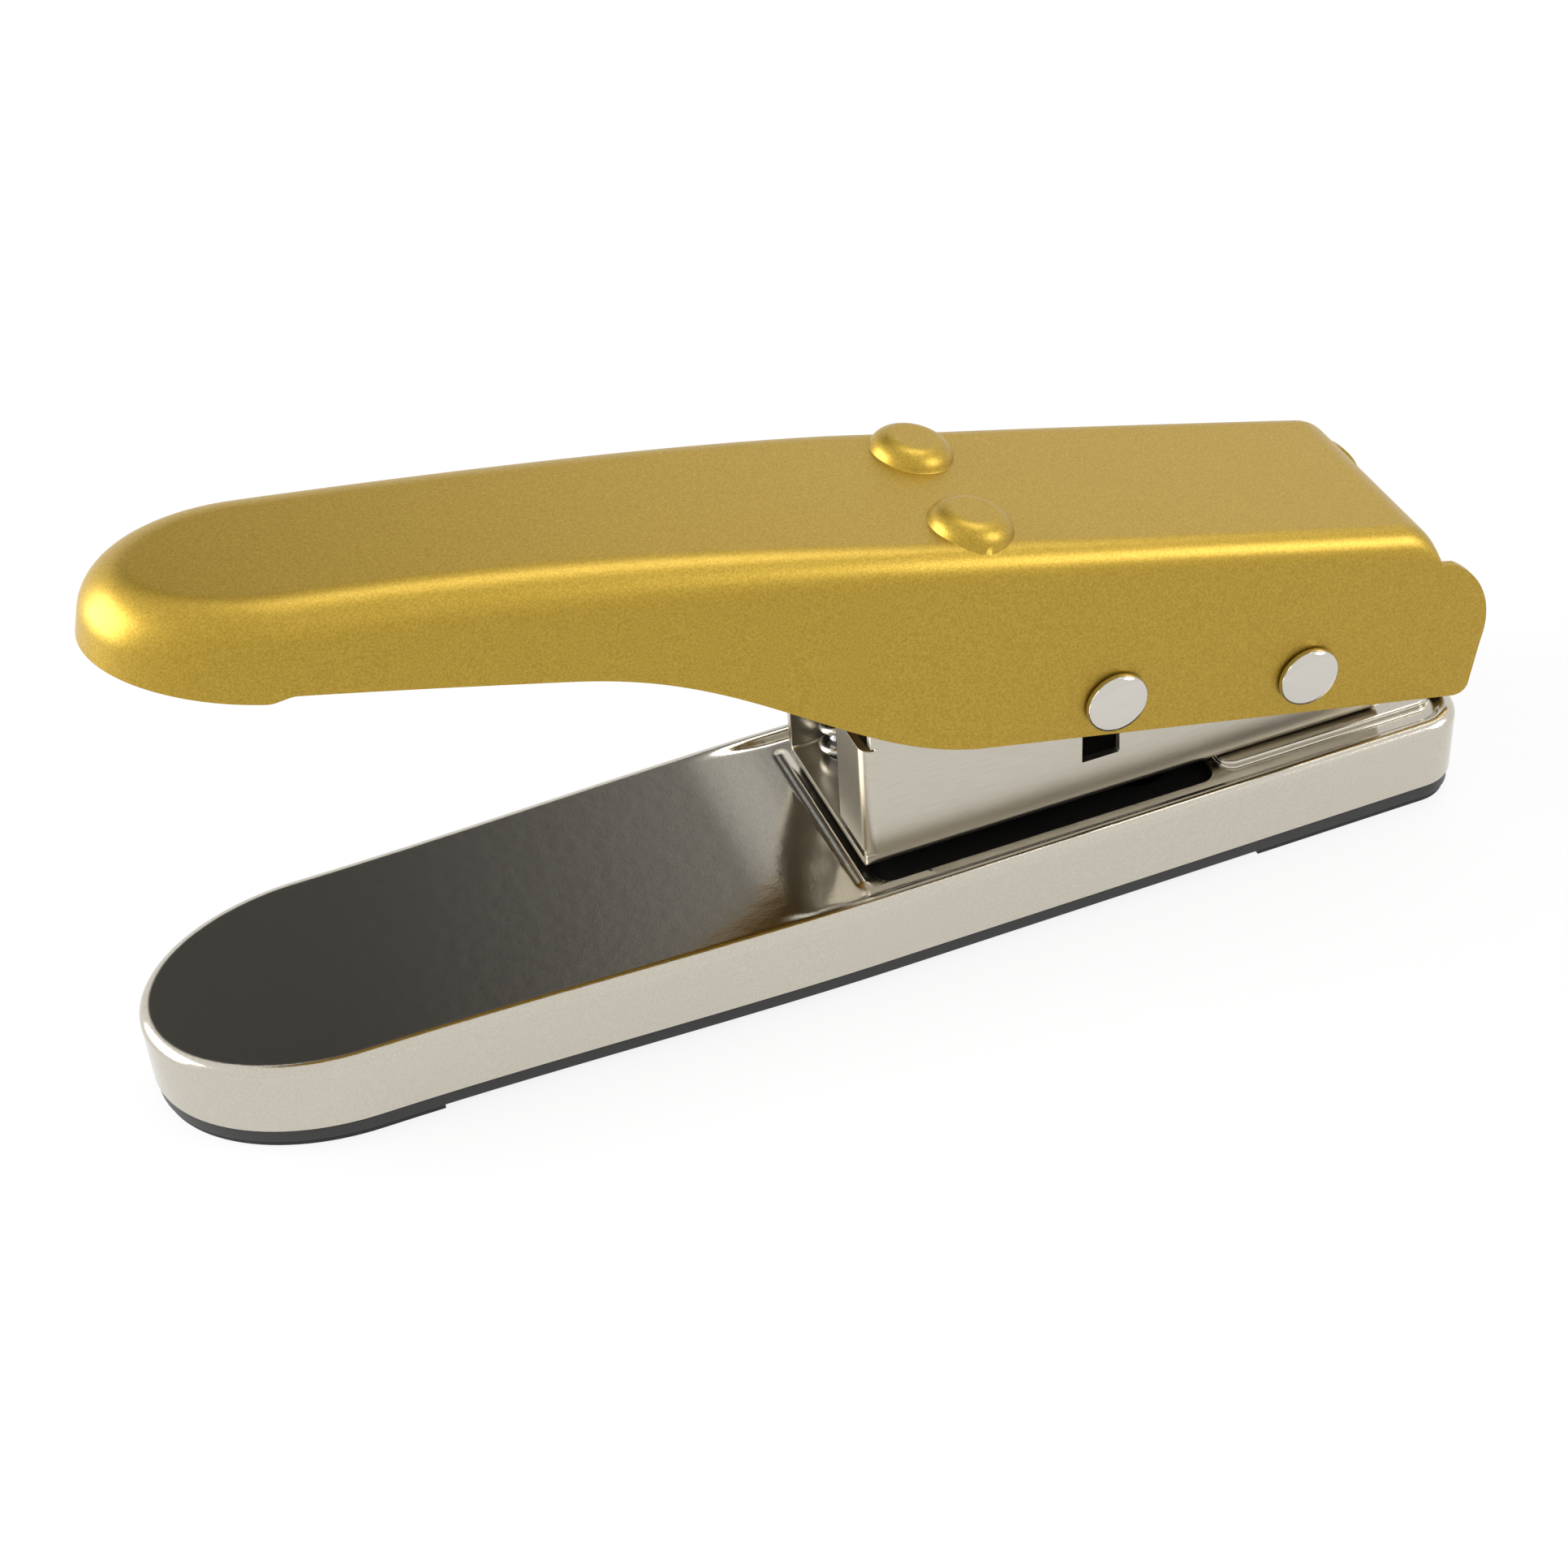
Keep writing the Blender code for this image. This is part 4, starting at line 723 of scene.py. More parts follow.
close_rows = [BEAD_X + BEAD_ROW_STEP * i for i in range(-7, 7)]
close_rows += [BEAD_X - i * MM for i in range(2, 18)]
base = add_plan_block("base_pressing", 0.0, WALL_FOOT, RIM_TOP, close_rows + [RINGS_END])
edit(base)
choose(base, "FACE", faces_down)
bpy.ops.mesh.delete(type="FACE")
choose(base, "EDGE", lambda e: all(v.co.z > RIM_TOP - NEAR for v in e.verts) and (
    sum(faces_up(f) for f in e.link_faces) == 1))
round_edges(BASE_SHOULDER, SHOULDER_STEPS)
choose(base, "FACE", lambda f: f.normal.z > LEVEL)
for i in range(RIM_RINGS):
    bpy.ops.mesh.inset(thickness=RIM_SLOPE / RIM_RINGS, depth=0)
choose(base, "FACE", lambda f: f.normal.z > LEVEL and f.calc_center_median().x < RINGS_END and (
    rim_distance(f.calc_center_median().x, f.calc_center_median().y) > RIM_SLOPE))
for i in range(BEAD_RINGS):
    bpy.ops.mesh.inset(thickness=BEAD_RING_STEP, depth=0)
cut_round_end(base, [NOSE_CENTRE - DECK_ROW_STEP * i for i in range(1, DECK_ROWS + 1)])
merge_points(2 * NEAR)
top = bmesh.from_edit_mesh(base.data)
for v in top.verts:
    if v.co.z > RIM_TOP - NEAR:
        v.co.z += pressed_height(v.co.x, v.co.y)
bmesh.update_edit_mesh(base.data)
done()
modify(base, "SOLIDIFY", thickness=BASE_SHEET, offset=-1, use_even_offset=True)
measure(base)

# %% [markdown]
# Behind the window the sheet is raised by a millimetre for the frame to stand on. The edge of this
# platform is a soft step. A block with rounded corners and edges is joined on, and its foot is filleted.
# The window under the frame is cut last, as on the real base, where a punch takes it out of the finished
# pressing.

# %% Raise the platform and cut the window
HALF_FRAME = 15.6 * MM
HALF_WINDOW = 17.8 * MM
WINDOW_FRONT = 3.32 * MM
WINDOW_REAR = 59.97 * MM
PLATFORM_FRONT = 61.57 * MM
PLATFORM_REAR = 98.51 * MM
PLATFORM_TOP = 15.5 * MM
HALF_PLATFORM = HALF_FRAME + 1.3 * MM
CORNER_RADIUS = 2.5 * MM
PLATFORM_EDGE = 0.6 * MM
PLATFORM_FILLET = 0.4 * MM
CORNER_RADIUS_STEPS = 8
PLATFORM_EDGE_STEPS = 5


def add_pad(name, low, high, corner, edge):
    """A block with rounded upright corners and, where an edge is given, a rounded top."""
    pad = add_block(name, low, high)
    edit(pad)
    choose(pad, "EDGE", upright)
    round_edges(corner, CORNER_RADIUS_STEPS)
    if edge:
        choose(pad, "EDGE", lambda e: all(v.co.z > high[2] - NEAR for v in e.verts))
        round_edges(edge, PLATFORM_EDGE_STEPS)
    done()
    return pad


def at_platform_foot(edge):
    """An edge between the level deck and a side of the platform."""
    low = all(abs(v.co.z - BASE_TOP) < NEAR and v.co.x > PLATFORM_FRONT - NEAR for v in edge.verts)
    steep = any(abs(f.normal.z) < 0.3 for f in edge.link_faces)
    return low and steep and any(f.normal.z > 0.99 for f in edge.link_faces)


platform = add_pad(
    "platform", (PLATFORM_FRONT, -HALF_PLATFORM, BASE_TOP - BASE_SHEET / 2),
    (PLATFORM_REAR, HALF_PLATFORM, PLATFORM_TOP), CORNER_RADIUS, PLATFORM_EDGE,
)
cut(base, platform, "UNION")
edit(base)
choose(base, "EDGE", at_platform_foot)
bpy.ops.mesh.bevel(offset=PLATFORM_FILLET, segments=3, affect="EDGES", clamp_overlap=False)
done()
window = add_pad(
    "window", (WINDOW_FRONT, -HALF_WINDOW, BASE_TOP - BASE_SHEET - OVERRUN),
    (WINDOW_REAR, HALF_WINDOW, BASE_TOP + OVERRUN), CORNER_RADIUS, 0,
)
cut(base, window)
soften(base, SHEET_SOFTNESS)
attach(base, "root")
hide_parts("base_shell")
measure(base)

# %% [markdown]
# ## The cover and the feet
#
# A black moulded cover closes the base from below, and two thicker pads carry the tool at its ends.
# Between the pads the tool stands clear of the table, which shows as a black line that gets thinner along
# the base. They could be drawn as outlines of their own, but each is quicker to make as a block with the
# plan of the base. Both pads come from one such block, of which each keeps its own end.

# %% Mould the cover and cut the feet
COVER_INSET = 0.3 * MM
COVER_BOTTOM = 1.1 * MM
COVER_TOP = 3.3 * MM
FOOT_PAD = 0.8 * MM
FOOT_INSET = 0.7 * MM
FRONT_FOOT_END = BASE_FRONT + 38.0 * MM
REAR_FOOT_START = BASE_REAR - 37.0 * MM
COVER_RIM = 1.6 * MM
RECESS_SLOPE = 0.5 * MM
RECESS_DEPTH = 0.3 * MM
MOULD_SOFTNESS = 0.2 * MM
PAD_SOFTNESS = 0.15 * MM

cover = add_plan_block("base_cover_moulding", COVER_INSET, COVER_BOTTOM, COVER_TOP)
edit(cover)
choose(cover, "FACE", faces_down)
bpy.ops.mesh.inset(thickness=COVER_RIM, depth=0)
bpy.ops.mesh.inset(thickness=RECESS_SLOPE, depth=-RECESS_DEPTH)
done()
soften(cover, MOULD_SOFTNESS)
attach(cover, "root")
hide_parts("base_cover")
measure(cover)

for name, node, end, side in (
    ("front_pad", "front_foot", FRONT_FOOT_END, 1), ("rear_pad", "rear_foot", REAR_FOOT_START, -1)
):
    pad = add_plan_block(name, FOOT_INSET, 0.0, FOOT_PAD)
    edit(pad)
    bpy.ops.mesh.select_all(action="SELECT")
    bpy.ops.mesh.bisect(plane_co=(end, 0, 0), plane_no=(side, 0, 0), use_fill=True, clear_outer=True)
    done()
    soften(pad, PAD_SOFTNESS)
    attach(pad, "root")
    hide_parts(node)
    measure(pad)

# %% [markdown]
# ## The punch frame
#
# The frame is one piece of nickel-plated sheet, folded up into a U between the base and the handle. Its
# near front edge is folded inwards once more, which leaves the small notch at the fold's foot. A U could
# be cut out of a solid block, but folding keeps the sheet's thickness right all round. So the block loses
# its ends and its top, its lower edges are rounded, and the flange is spun off the near side and drawn
# out, before it all gets thick.

# %% Fold the frame out of one sheet
FRAME_SHEET = 1.3 * MM
FRAME_BOTTOM = BASE_TOP + 1.4 * MM
WEB_TOP = FRAME_BOTTOM + FRAME_SHEET
FRAME_TOP = 50.0 * MM
FRAME_REAR = PIVOT.x + 16.1 * MM
FRAME_BEND = 1.8 * MM
FLANGE_FOOT = WEB_TOP + 1.4 * MM
FLANGE_TOP = 38.2 * MM
FLANGE_WIDTH = 10.4 * MM
FLANGE_BEND = 2.0 * MM
FLANGE_RELIEF = 0.4 * MM
BEND_STEPS = 8
fold = FRAME_FRONT + FLANGE_BEND

folded = add_block(
    "folded_frame", (FRAME_FRONT, -HALF_FRAME, FRAME_BOTTOM), (FRAME_REAR, HALF_FRAME, FRAME_TOP)
)
edit(folded)
choose(folded, "FACE", lambda f: abs(f.normal.x) > 0.9 or faces_up(f))
bpy.ops.mesh.delete(type="FACE")
choose(folded, "EDGE", lambda e: len(e.link_faces) == 2)
round_edges(FRAME_BEND, BEND_STEPS)
cut_along([(fold, 0, 0)], (1, 0, 0))
cut_along([(0, 0, z) for z in (FLANGE_FOOT, FLANGE_TOP, FLANGE_TOP + FLANGE_RELIEF)], (0, 0, 1))
choose(folded, "FACE", lambda f: f.normal.y < -0.9 and f.calc_center_median().x < fold and (
    FLANGE_FOOT < f.calc_center_median().z < FLANGE_TOP + FLANGE_RELIEF))
bpy.ops.mesh.delete(type="FACE")
choose(folded, "EDGE", lambda e: all(
    abs(v.co.x - fold) < NEAR and v.co.y < -HALF_FRAME + NEAR
    and FLANGE_FOOT - NEAR < v.co.z < FLANGE_TOP + NEAR for v in e.verts))
spin_centre = (fold, FLANGE_BEND - HALF_FRAME, 0)
bpy.ops.mesh.spin(steps=BEND_STEPS, angle=math.pi / 2, center=spin_centre, axis=(0, 0, 1))
choose(folded, "EDGE", lambda e: all(
    abs(v.co.x - FRAME_FRONT) < NEAR and abs(v.co.y - FLANGE_BEND + HALF_FRAME) < NEAR for v in e.verts))
bpy.ops.mesh.extrude_region_move(TRANSFORM_OT_translate={"value": (0, FLANGE_WIDTH - FLANGE_BEND, 0)})
merge_points(NEAR)
bpy.ops.mesh.normals_make_consistent(inside=False)
done()
measure(folded)
modify(folded, "SOLIDIFY", thickness=FRAME_SHEET, offset=-1, use_even_offset=True)
measure(folded)

# %% [markdown]
# The real frame is cut flat, with all its openings, and then folded. Here it is folded first and cut
# afterwards, because an outline in side view trims both plates alike, and each hole can take its place
# from the piece that goes through it: the pivot, the drive pin in its slot, the four rivets and the two
# spring pegs.

# %% Trim the frame and cut its holes
FRONT_STEP = 1.3 * MM
STEP_TOP = FLANGE_TOP + 3.6 * MM
FRONT_SLOPE = 5.5 * MM
REAR_TOP = 40.0 * MM
REAR_SLOPE = 24.0 * MM
SLOT_HALF_WIDTH = 3.1 * MM
SLOT_LOW = 23.8 * MM
SLOT_HIGH = 40.4 * MM
PEG_X = FRAME_FRONT + 6.4 * MM
PEG_RADIUS = 1.5 * MM
RIVET_ROWS = (PLATFORM_FRONT + 5.5 * MM, FRAME_REAR - 5.5 * MM)
RIVET_SPACING = 16.0 * MM
RIVET_SHANK = 1.6 * MM
WEB_HOLE_STEPS = 32


def swung(along, up):
    """Where a point of the level handle lies, seen from the side, once the handle is open."""
    turned = Matrix.Rotation(OPEN_ANGLE, 4, "Y") @ Vector((along, 0, up))
    return PIVOT.x + turned.x, PIVOT.z + turned.z


drive_x = swung(*PIN_PLACES[0])[0]
slot_x = (drive_x + PIVOT.x - math.hypot(*PIN_PLACES[0])) / 2
under = FRAME_BOTTOM - OVERRUN
over = FRAME_TOP + OVERRUN
step_face = FRAME_FRONT + FRONT_STEP
slope_end = step_face + FRONT_SLOPE
step_foot = FLANGE_TOP + FLANGE_RELIEF / 2
side_view = [
    (FRAME_FRONT - OVERRUN, under), (FRAME_FRONT - OVERRUN, step_foot), (step_face, step_foot),
    (step_face, STEP_TOP), (slope_end, FRAME_TOP), (slope_end, over), (FRAME_REAR - REAR_SLOPE, over),
    (FRAME_REAR - REAR_SLOPE, FRAME_TOP), (FRAME_REAR, REAR_TOP),
    (FRAME_REAR + OVERRUN, REAR_TOP - OVERRUN), (FRAME_REAR + OVERRUN, under),
]
reach = HALF_FRAME + OVERRUN
cut(folded, drawn_tool("frame_die", side_view, -reach, reach), "INTERSECT")
slot_low = (slot_x - SLOT_HALF_WIDTH, -reach, SLOT_LOW)
cut(folded, add_block("slot", slot_low, (slot_x + SLOT_HALF_WIDTH, reach, SLOT_HIGH)))
outwards = Vector((0, reach, 0))
cut(folded, add_rod("pivot_hole", PIN_RADIUS + CLEAR, PIVOT - outwards, PIVOT + outwards, HOLE_STEPS))
rivet_places = [(x, side * RIVET_SPACING / 2) for x in RIVET_ROWS for side in (-1, 1)]
peg_places = [(PEG_X, side * POCKET_SPACING / 2) for side in (-1, 1)]
for places, radius in ((rivet_places, RIVET_SHANK), (peg_places, PEG_RADIUS)):
    for x, y in places:
        top = (x, y, WEB_TOP + OVERRUN)
        cut(folded, add_rod("web_hole", radius + CLEAR, (x, y, under), top, WEB_HOLE_STEPS))
measure(folded)

# %% [markdown]
# The web has a hole in the shape of a pick, through which the punch comes down. A pick is a rounded
# triangle. It could be drawn as a curve, but a block that is narrowed at one end, and whose upright edges
# are rounded, gives the same shape in three steps.

# %% Cut the pick hole in the web and soften the edges
PICK_LENGTH = 30.5 * MM
PICK_WIDTH = 26.0 * MM
PICK_TIP_RADIUS = 3.0 * MM
PICK_SHOULDER = 8.5 * MM
PICK_TIP_STEPS = 6
PICK_SHOULDER_STEPS = 8
hole_tip = drive_x - PICK_LENGTH / 2 - CLEAR
hole_rear = drive_x + PICK_LENGTH / 2 + CLEAR
half_pick = PICK_WIDTH / 2 + CLEAR
punch_hole = add_block(
    "pick_hole", (hole_tip, -half_pick, under), (hole_rear, half_pick, WEB_TOP + OVERRUN)
)
edit(punch_hole)
choose(punch_hole, "VERT", lambda v: v.co.x < hole_tip + NEAR)
stretch(1, 2 * PICK_TIP_RADIUS / PICK_WIDTH, (hole_tip, 0, 0))
choose(punch_hole, "EDGE", lambda e: upright(e) and e.verts[0].co.x < drive_x)
round_edges(PICK_TIP_RADIUS - CLEAR, PICK_TIP_STEPS)
choose(punch_hole, "EDGE", upright_at(hole_rear))
round_edges(PICK_SHOULDER, PICK_SHOULDER_STEPS)
done()
cut(folded, punch_hole)
soften(folded, SHEET_SOFTNESS)
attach(folded, "root")
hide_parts("punch_frame")
measure(folded)

# %% [markdown]
# ## Rivets
#
# Two chrome pins go right through the tool: the front one drives the punch and the rear one carries the
# handle. Their heads are low mushrooms with a small dimple, where the riveting punch was centred. A
# profile could be spun to make one, but a rod does it in fewer steps: its end is drawn out to a seat,
# raised to a rim, and then inset ring by ring, each ring a little higher, so the dome ends up round. A
# mirror makes the other end. The four small rivets that hold the frame down on the base are made the same
# way.

# %% A rivet with two domed heads
DOME_RINGS = 12
DOME_POWER = 2.6
DIMPLE_SHARE = 0.24
DIMPLE_RINGS = (0.3, 0.24, 0.18, 0.12, 0.06)
SEAT_SHARE = 0.97
RIVET_SHARP_ANGLE = math.radians(50)


def add_rivet(name, shank, seat, head, rim, rise, dimple):
    """An upright pin about the origin, from one seat to the other, with a head beyond each."""
    pin = add_rod(name, shank, (0, 0, 0), (0, 0, seat))
    edit(pin)
    choose(pin, "FACE", faces_down)
    bpy.ops.mesh.delete(type="FACE")
    choose(pin, "FACE", faces_up)
    chamfer = (1 - SEAT_SHARE) * head
    for up, wider in ((0, SEAT_SHARE * head / shank), (chamfer, 1 / SEAT_SHARE), (rim - chamfer, 1)):
        bpy.ops.mesh.extrude_region_move(TRANSFORM_OT_translate={"value": (0, 0, up)})
        stretch(wider, wider, (0, 0, 0))

    def height(share):
        """The height of the dome above its rim, at a share of its radius."""
        hollow = max(1 - (share / DIMPLE_SHARE) ** 2, 0) ** 2
        return rise * math.sqrt(1 - share**DOME_POWER) - dimple * hollow

    shares = [math.sqrt(math.cos(math.pi / 2 * i / DOME_RINGS)) for i in range(DOME_RINGS)]
    shares += DIMPLE_RINGS
    for outer, inner in zip(shares, shares[1:]):
        bpy.ops.mesh.inset(thickness=head * (outer - inner), depth=height(inner) - height(outer))
    done()
    modify(pin, "MIRROR", use_axis=(False, False, True), merge_threshold=NEAR)
    select_only(pin)
    bpy.ops.object.shade_smooth_by_angle(angle=RIVET_SHARP_ANGLE)
    return pin


PIN_HEAD = 4.95 * MM
PIN_HEAD_RIM = 0.7 * MM
PIN_HEAD_RISE = 1.4 * MM
PIN_DIMPLE = 0.25 * MM
for name, (along, up) in zip(("drive", "pivot"), PIN_PLACES):
    pin = add_rivet(
        f"{name}_rivet", PIN_RADIUS, HALF_HANDLE + CLEAR, PIN_HEAD, PIN_HEAD_RIM, PIN_HEAD_RISE, PIN_DIMPLE
    )
    pin.matrix_world = Matrix.Translation((along, 0, up)) @ Matrix.Rotation(math.pi / 2, 4, "X")
    open_up(settle(pin))
    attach(pin, "handle")
    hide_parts(f"{name}_pin")
    measure(pin)

# %% [markdown]
# Four smaller rivets clamp the frame, the platform of the base and the die together. The same function
# makes them, with a shallower dimple. One is modelled and the others are its copies. They could share one
# mesh, but each is a piece of its own on the real tool, so each gets its own here.

# %% Four small rivets through the web, the platform and the die
DIE_BOTTOM = 8.1 * MM
SMALL_HEAD = 3.0 * MM
SMALL_HEAD_RIM = 0.4 * MM
SMALL_HEAD_RISE = 0.9 * MM
SMALL_DIMPLE = 0.1 * MM


def copy_of(piece, name):
    """A copy of a piece with a mesh of its own."""
    twin = piece.copy()
    twin.data = piece.data.copy()
    twin.name = twin.data.name = name
    bpy.context.scene.collection.objects.link(twin)
    return twin


seat_high = WEB_TOP + CLEAR
seat_low = DIE_BOTTOM - CLEAR
half_length = (seat_high - seat_low) / 2
model = add_rivet(
    "frame_rivet", RIVET_SHANK, half_length, SMALL_HEAD, SMALL_HEAD_RIM, SMALL_HEAD_RISE, SMALL_DIMPLE
)
for number, (x, y) in enumerate(rivet_places, 1):
    rivet = copy_of(model, f"web_rivet_{number}")
    rivet.location = (x, y, (seat_high + seat_low) / 2)
    settle(rivet)
    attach(rivet, "root")
    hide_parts(f"frame_rivet_{number}")
bpy.data.objects.remove(model, do_unlink=True)

# %% [markdown]
# ## Springs
#
# Two compression springs push the handle open. Each stands over a peg on the frame and ends in a pocket
# of the handle, so it starts upright and leans back towards its top. Blender can spin a wire round a
# straight axis, but not round a leaning one, so the wire's centre line is worked out: a ring that is
# carried along a smooth curve. Its end turns lie close, as on a real spring with closed ends.

# %% Wind the springs
SPRING_WIRE = 1.2 * MM
SPRING_RADIUS = 2.65 * MM
SPRING_TURNS = 12
SPRING_END_PITCH = 1.9 * MM
POINTS_PER_TURN = 40
WIRE_SHARP_ANGLE = math.radians(60)
spring_y = POCKET_SPACING / 2
spring_foot = Vector((PEG_X, spring_y, WEB_TOP + CLEAR + SPRING_WIRE / 2))
seat_x, seat_z = swung(-POCKET_AHEAD, HANDLE_TOP + POCKET_HEIGHT - HANDLE_SHEET - CLEAR - SPRING_WIRE / 2)
spring_seat = Vector((seat_x, spring_y, seat_z))
spring_length = (spring_seat - spring_foot).length
foot_hand = spring_foot + Vector((0, 0, spring_length / 3))
seat_hand = spring_seat - spring_length / 3 * Vector((math.sin(OPEN_ANGLE), 0, math.cos(OPEN_ANGLE)))


def spring_share(turn):
    """How far along its centre line a turn lies: the first and last turns are close together."""
    end = SPRING_END_PITCH / spring_length
    if turn < 1:
        return end * turn
    if turn > SPRING_TURNS - 1:
        return 1 - end * (SPRING_TURNS - turn)
    return end + (1 - 2 * end) * (turn - 1) / (SPRING_TURNS - 2)


def wire_point(turn):
    """The place of the wire's centre after a number of turns."""
    t = spring_share(turn)
    u = 1 - t
    centre = spring_foot * u**3 + 3 * u * t * (foot_hand * u + seat_hand * t) + spring_seat * t**3
    along = (foot_hand - spring_foot) * u * u + (seat_hand - foot_hand) * 2 * u * t
    along += (spring_seat - seat_hand) * t * t
    across = Vector((0, 1, 0))
    ahead = across.cross(along.normalized())
    angle = 2 * math.pi * turn
    return centre + SPRING_RADIUS * (math.cos(angle) * ahead + math.sin(angle) * across)


curve = bpy.data.curves.new("spring_wire", "CURVE")
curve.dimensions = "3D"
curve.bevel_depth = SPRING_WIRE / 2
curve.bevel_resolution = 4
curve.use_fill_caps = True
wire = curve.splines.new("POLY")
wire.points.add(SPRING_TURNS * POINTS_PER_TURN)
for i, point in enumerate(wire.points):
    point.co = (*wire_point(i / POINTS_PER_TURN), 1)
left_spring = put_in_scene("wound_spring_left", curve)
select_only(left_spring)
bpy.ops.object.convert(target="MESH")
left_spring.data.name = "wound_spring_left"
edit(left_spring)
merge_points(NEAR / 10)
done()
bpy.ops.object.shade_smooth_by_angle(angle=WIRE_SHARP_ANGLE)
right_spring = copy_of(left_spring, "wound_spring_right")
right_spring.location.y = -POCKET_SPACING
settle(right_spring)
for spring, name in ((left_spring, "left"), (right_spring, "right")):
    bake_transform(spring)
    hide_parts(f"return_spring_{name}")
    measure(spring)

# %% [markdown]
# ## Gold lacquer on steel
#
# The handle carries a satin metallic lacquer. Flakes lie in a tinted varnish, so it is bright like metal
# but spreads its highlight wide, under a thin clear coat, and from close by it shows a fine grain. The
# grain of a real lacquer is a few hundredths of a millimetre, finer than the picture can show, so it is
# drawn at a third of a millimetre here. A few helpers add a noise, a bump and a blend of two tones to any
# of the finishes.

# %% Mix the gold lacquer
def feed(material, output, socket):
    """Links an output to a socket of the material's shader."""
    material.node_tree.links.new(output, material.node_tree.nodes["Principled BSDF"].inputs[socket])


def noise(material, place, size, detail=2.0):
    """A noise whose grains are this many millimetres across."""
    settings = {"Scale": 1 / (size * MM), "Detail": detail}
    return add_node(material, "ShaderNodeTexNoise", settings, {"Vector": place}).outputs["Fac"]


def raise_surface(material, pattern, depth, below=None):
    """Bumps the surface by a pattern, in millimetres, on top of an earlier bump where one is given."""
    links = {"Height": pattern}
    if below:
        links["Normal"] = below
    bump = add_node(material, "ShaderNodeBump", {"Distance": depth * MM}, links).outputs["Normal"]
    feed(material, bump, "Normal")
    return bump


def blend_tones(material, pattern, first, second):
    """Lets a pattern blend the base colour between two tones."""
    tones = {"Color1": colour(first), "Color2": colour(second)}
    mixed = add_node(material, "ShaderNodeMixRGB", tones, {"Fac": pattern})
    feed(material, mixed.outputs["Color"], "Base Color")


def spread_roughness(material, pattern, low, high):
    """Lets a pattern vary the roughness between two values."""
    spread = add_node(material, "ShaderNodeMapRange", {"To Min": low, "To Max": high}, {"Value": pattern})
    feed(material, spread.outputs["Result"], "Roughness")


gold, place = new_finish("gold_lacquered_steel", "#AC8D33", roughness=0.40, metallic=0.85, more={
    "Coat Weight": 0.15, "Coat Roughness": 0.25})
flakes = noise(gold, place, size=0.3, detail=3.0)
grain = add_node(gold, "ShaderNodeMapRange", {"From Min": 0.35, "From Max": 0.65}, {"Value": flakes})
blend_tones(gold, grain.outputs["Result"], "#A3852A", "#B8993A")
raise_surface(gold, flakes, depth=0.012)

# %% [markdown]
# ## Nickel plate
#
# The base is bright nickel over pressed steel. Nickel is a warm light grey mirror, and the press leaves a
# slight unevenness like orange peel that makes straight reflections wander. The frame is the same plating
# over plain sheet, so it stays duller, with a short grain along the direction in which the sheet was
# rolled. Both have a faint mottle in their tone, which keeps large plain faces from looking painted.

# %% Plate the base and the frame
nickel, place = new_finish("bright_nickel_plate", "#C6C0B3", roughness=0.16, metallic=1.0)
peel = raise_surface(nickel, noise(nickel, place, size=2.5), depth=0.03)
fine = noise(nickel, place, size=0.3)
raise_surface(nickel, fine, depth=0.008, below=peel)
blend_tones(nickel, fine, "#B9B3A6", "#D3CDC0")

satin, place = new_finish("satin_nickel_plate", "#C3BDB0", roughness=0.28, metallic=1.0)
rolled = add_node(satin, "ShaderNodeMapping", {"Scale": (0.06, 1.0, 1.0)}, {"Vector": place})
lines = noise(satin, rolled.outputs["Vector"], size=0.3)
raise_surface(satin, lines, depth=0.006)
blend_tones(satin, lines, "#B8B2A5", "#CEC8BB")

# %% [markdown]
# ## The other metals
#
# The rivets are polished chrome, nearly a clean mirror. The springs are zinc plated, a little bluer and
# duller. The sleeve and the spring pegs are ground tool steel, whose fine lines run round them. The die,
# the punch, its carrier and the screws get a near-black steel. Its dark tone is partly painted shade: it
# stands for the black strip under the frame and in its slots, where the frame keeps the light off.

# %% Polish, plate and grind, and darken the inner steel with painted shade
chrome, place = new_finish("polished_chrome", "#CCC8C0", roughness=0.07, metallic=1.0)
raise_surface(chrome, noise(chrome, place, size=1.2, detail=1.0), depth=0.02)

zinc, place = new_finish("bright_zinc_wire", "#C9C6BF", roughness=0.22, metallic=1.0)
spread_roughness(zinc, noise(zinc, place, size=0.4), 0.16, 0.34)

ground, place = new_finish("ground_tool_steel", "#8C8C8E", roughness=0.32, metallic=1.0)
layers = add_node(ground, "ShaderNodeMapping", {"Scale": (0.05, 0.05, 1.0)}, {"Vector": place})
raise_surface(ground, noise(ground, layers.outputs["Vector"], size=0.15), depth=0.004)

# The near-black tone is partly painted shade, for the dark under and inside the frame, where little light
# reaches.
steel_with_painted_shade, place = new_finish("dark_steel_painted_shade", "#1B1A19", roughness=0.45, metallic=0.6)
spread_roughness(steel_with_painted_shade, noise(steel_with_painted_shade, place, size=1.5, detail=3.0), 0.38, 0.55)

# %% [markdown]
# ## Plastic, rubber and nylon
#
# The cover is moulded black plastic with a spark-eroded skin, the feet are matt black rubber, and the
# four washers are natural nylon, which is milky and lets a little light into it.

# %% Mould the plastic, the rubber and the nylon
plastic, place = new_finish("moulded_black_plastic", "#222120", roughness=0.42, metallic=0.0)
raise_surface(plastic, noise(plastic, place, size=0.4), depth=0.02)

rubber, place = new_finish("black_rubber", "#1B1A1A", roughness=0.72, metallic=0.0)
dust = noise(rubber, place, size=0.8, detail=3.0)
blend_tones(rubber, dust, "#181717", "#242322")
raise_surface(rubber, dust, depth=0.03)

nylon, place = new_finish("natural_nylon", "#D8D3C6", roughness=0.45, metallic=0.0, more={
    "Subsurface Weight": 0.15, "Subsurface Scale": 1.0 * MM})
raise_surface(nylon, noise(nylon, place, size=1.0), depth=0.01)

# %% [markdown]
# ## One table of finishes
#
# Each finish is listed with the pieces that wear it. A material could be set right after each piece is
# made, but one table is easier to check, and the pieces that are kept from the working model get their
# finish in it too.

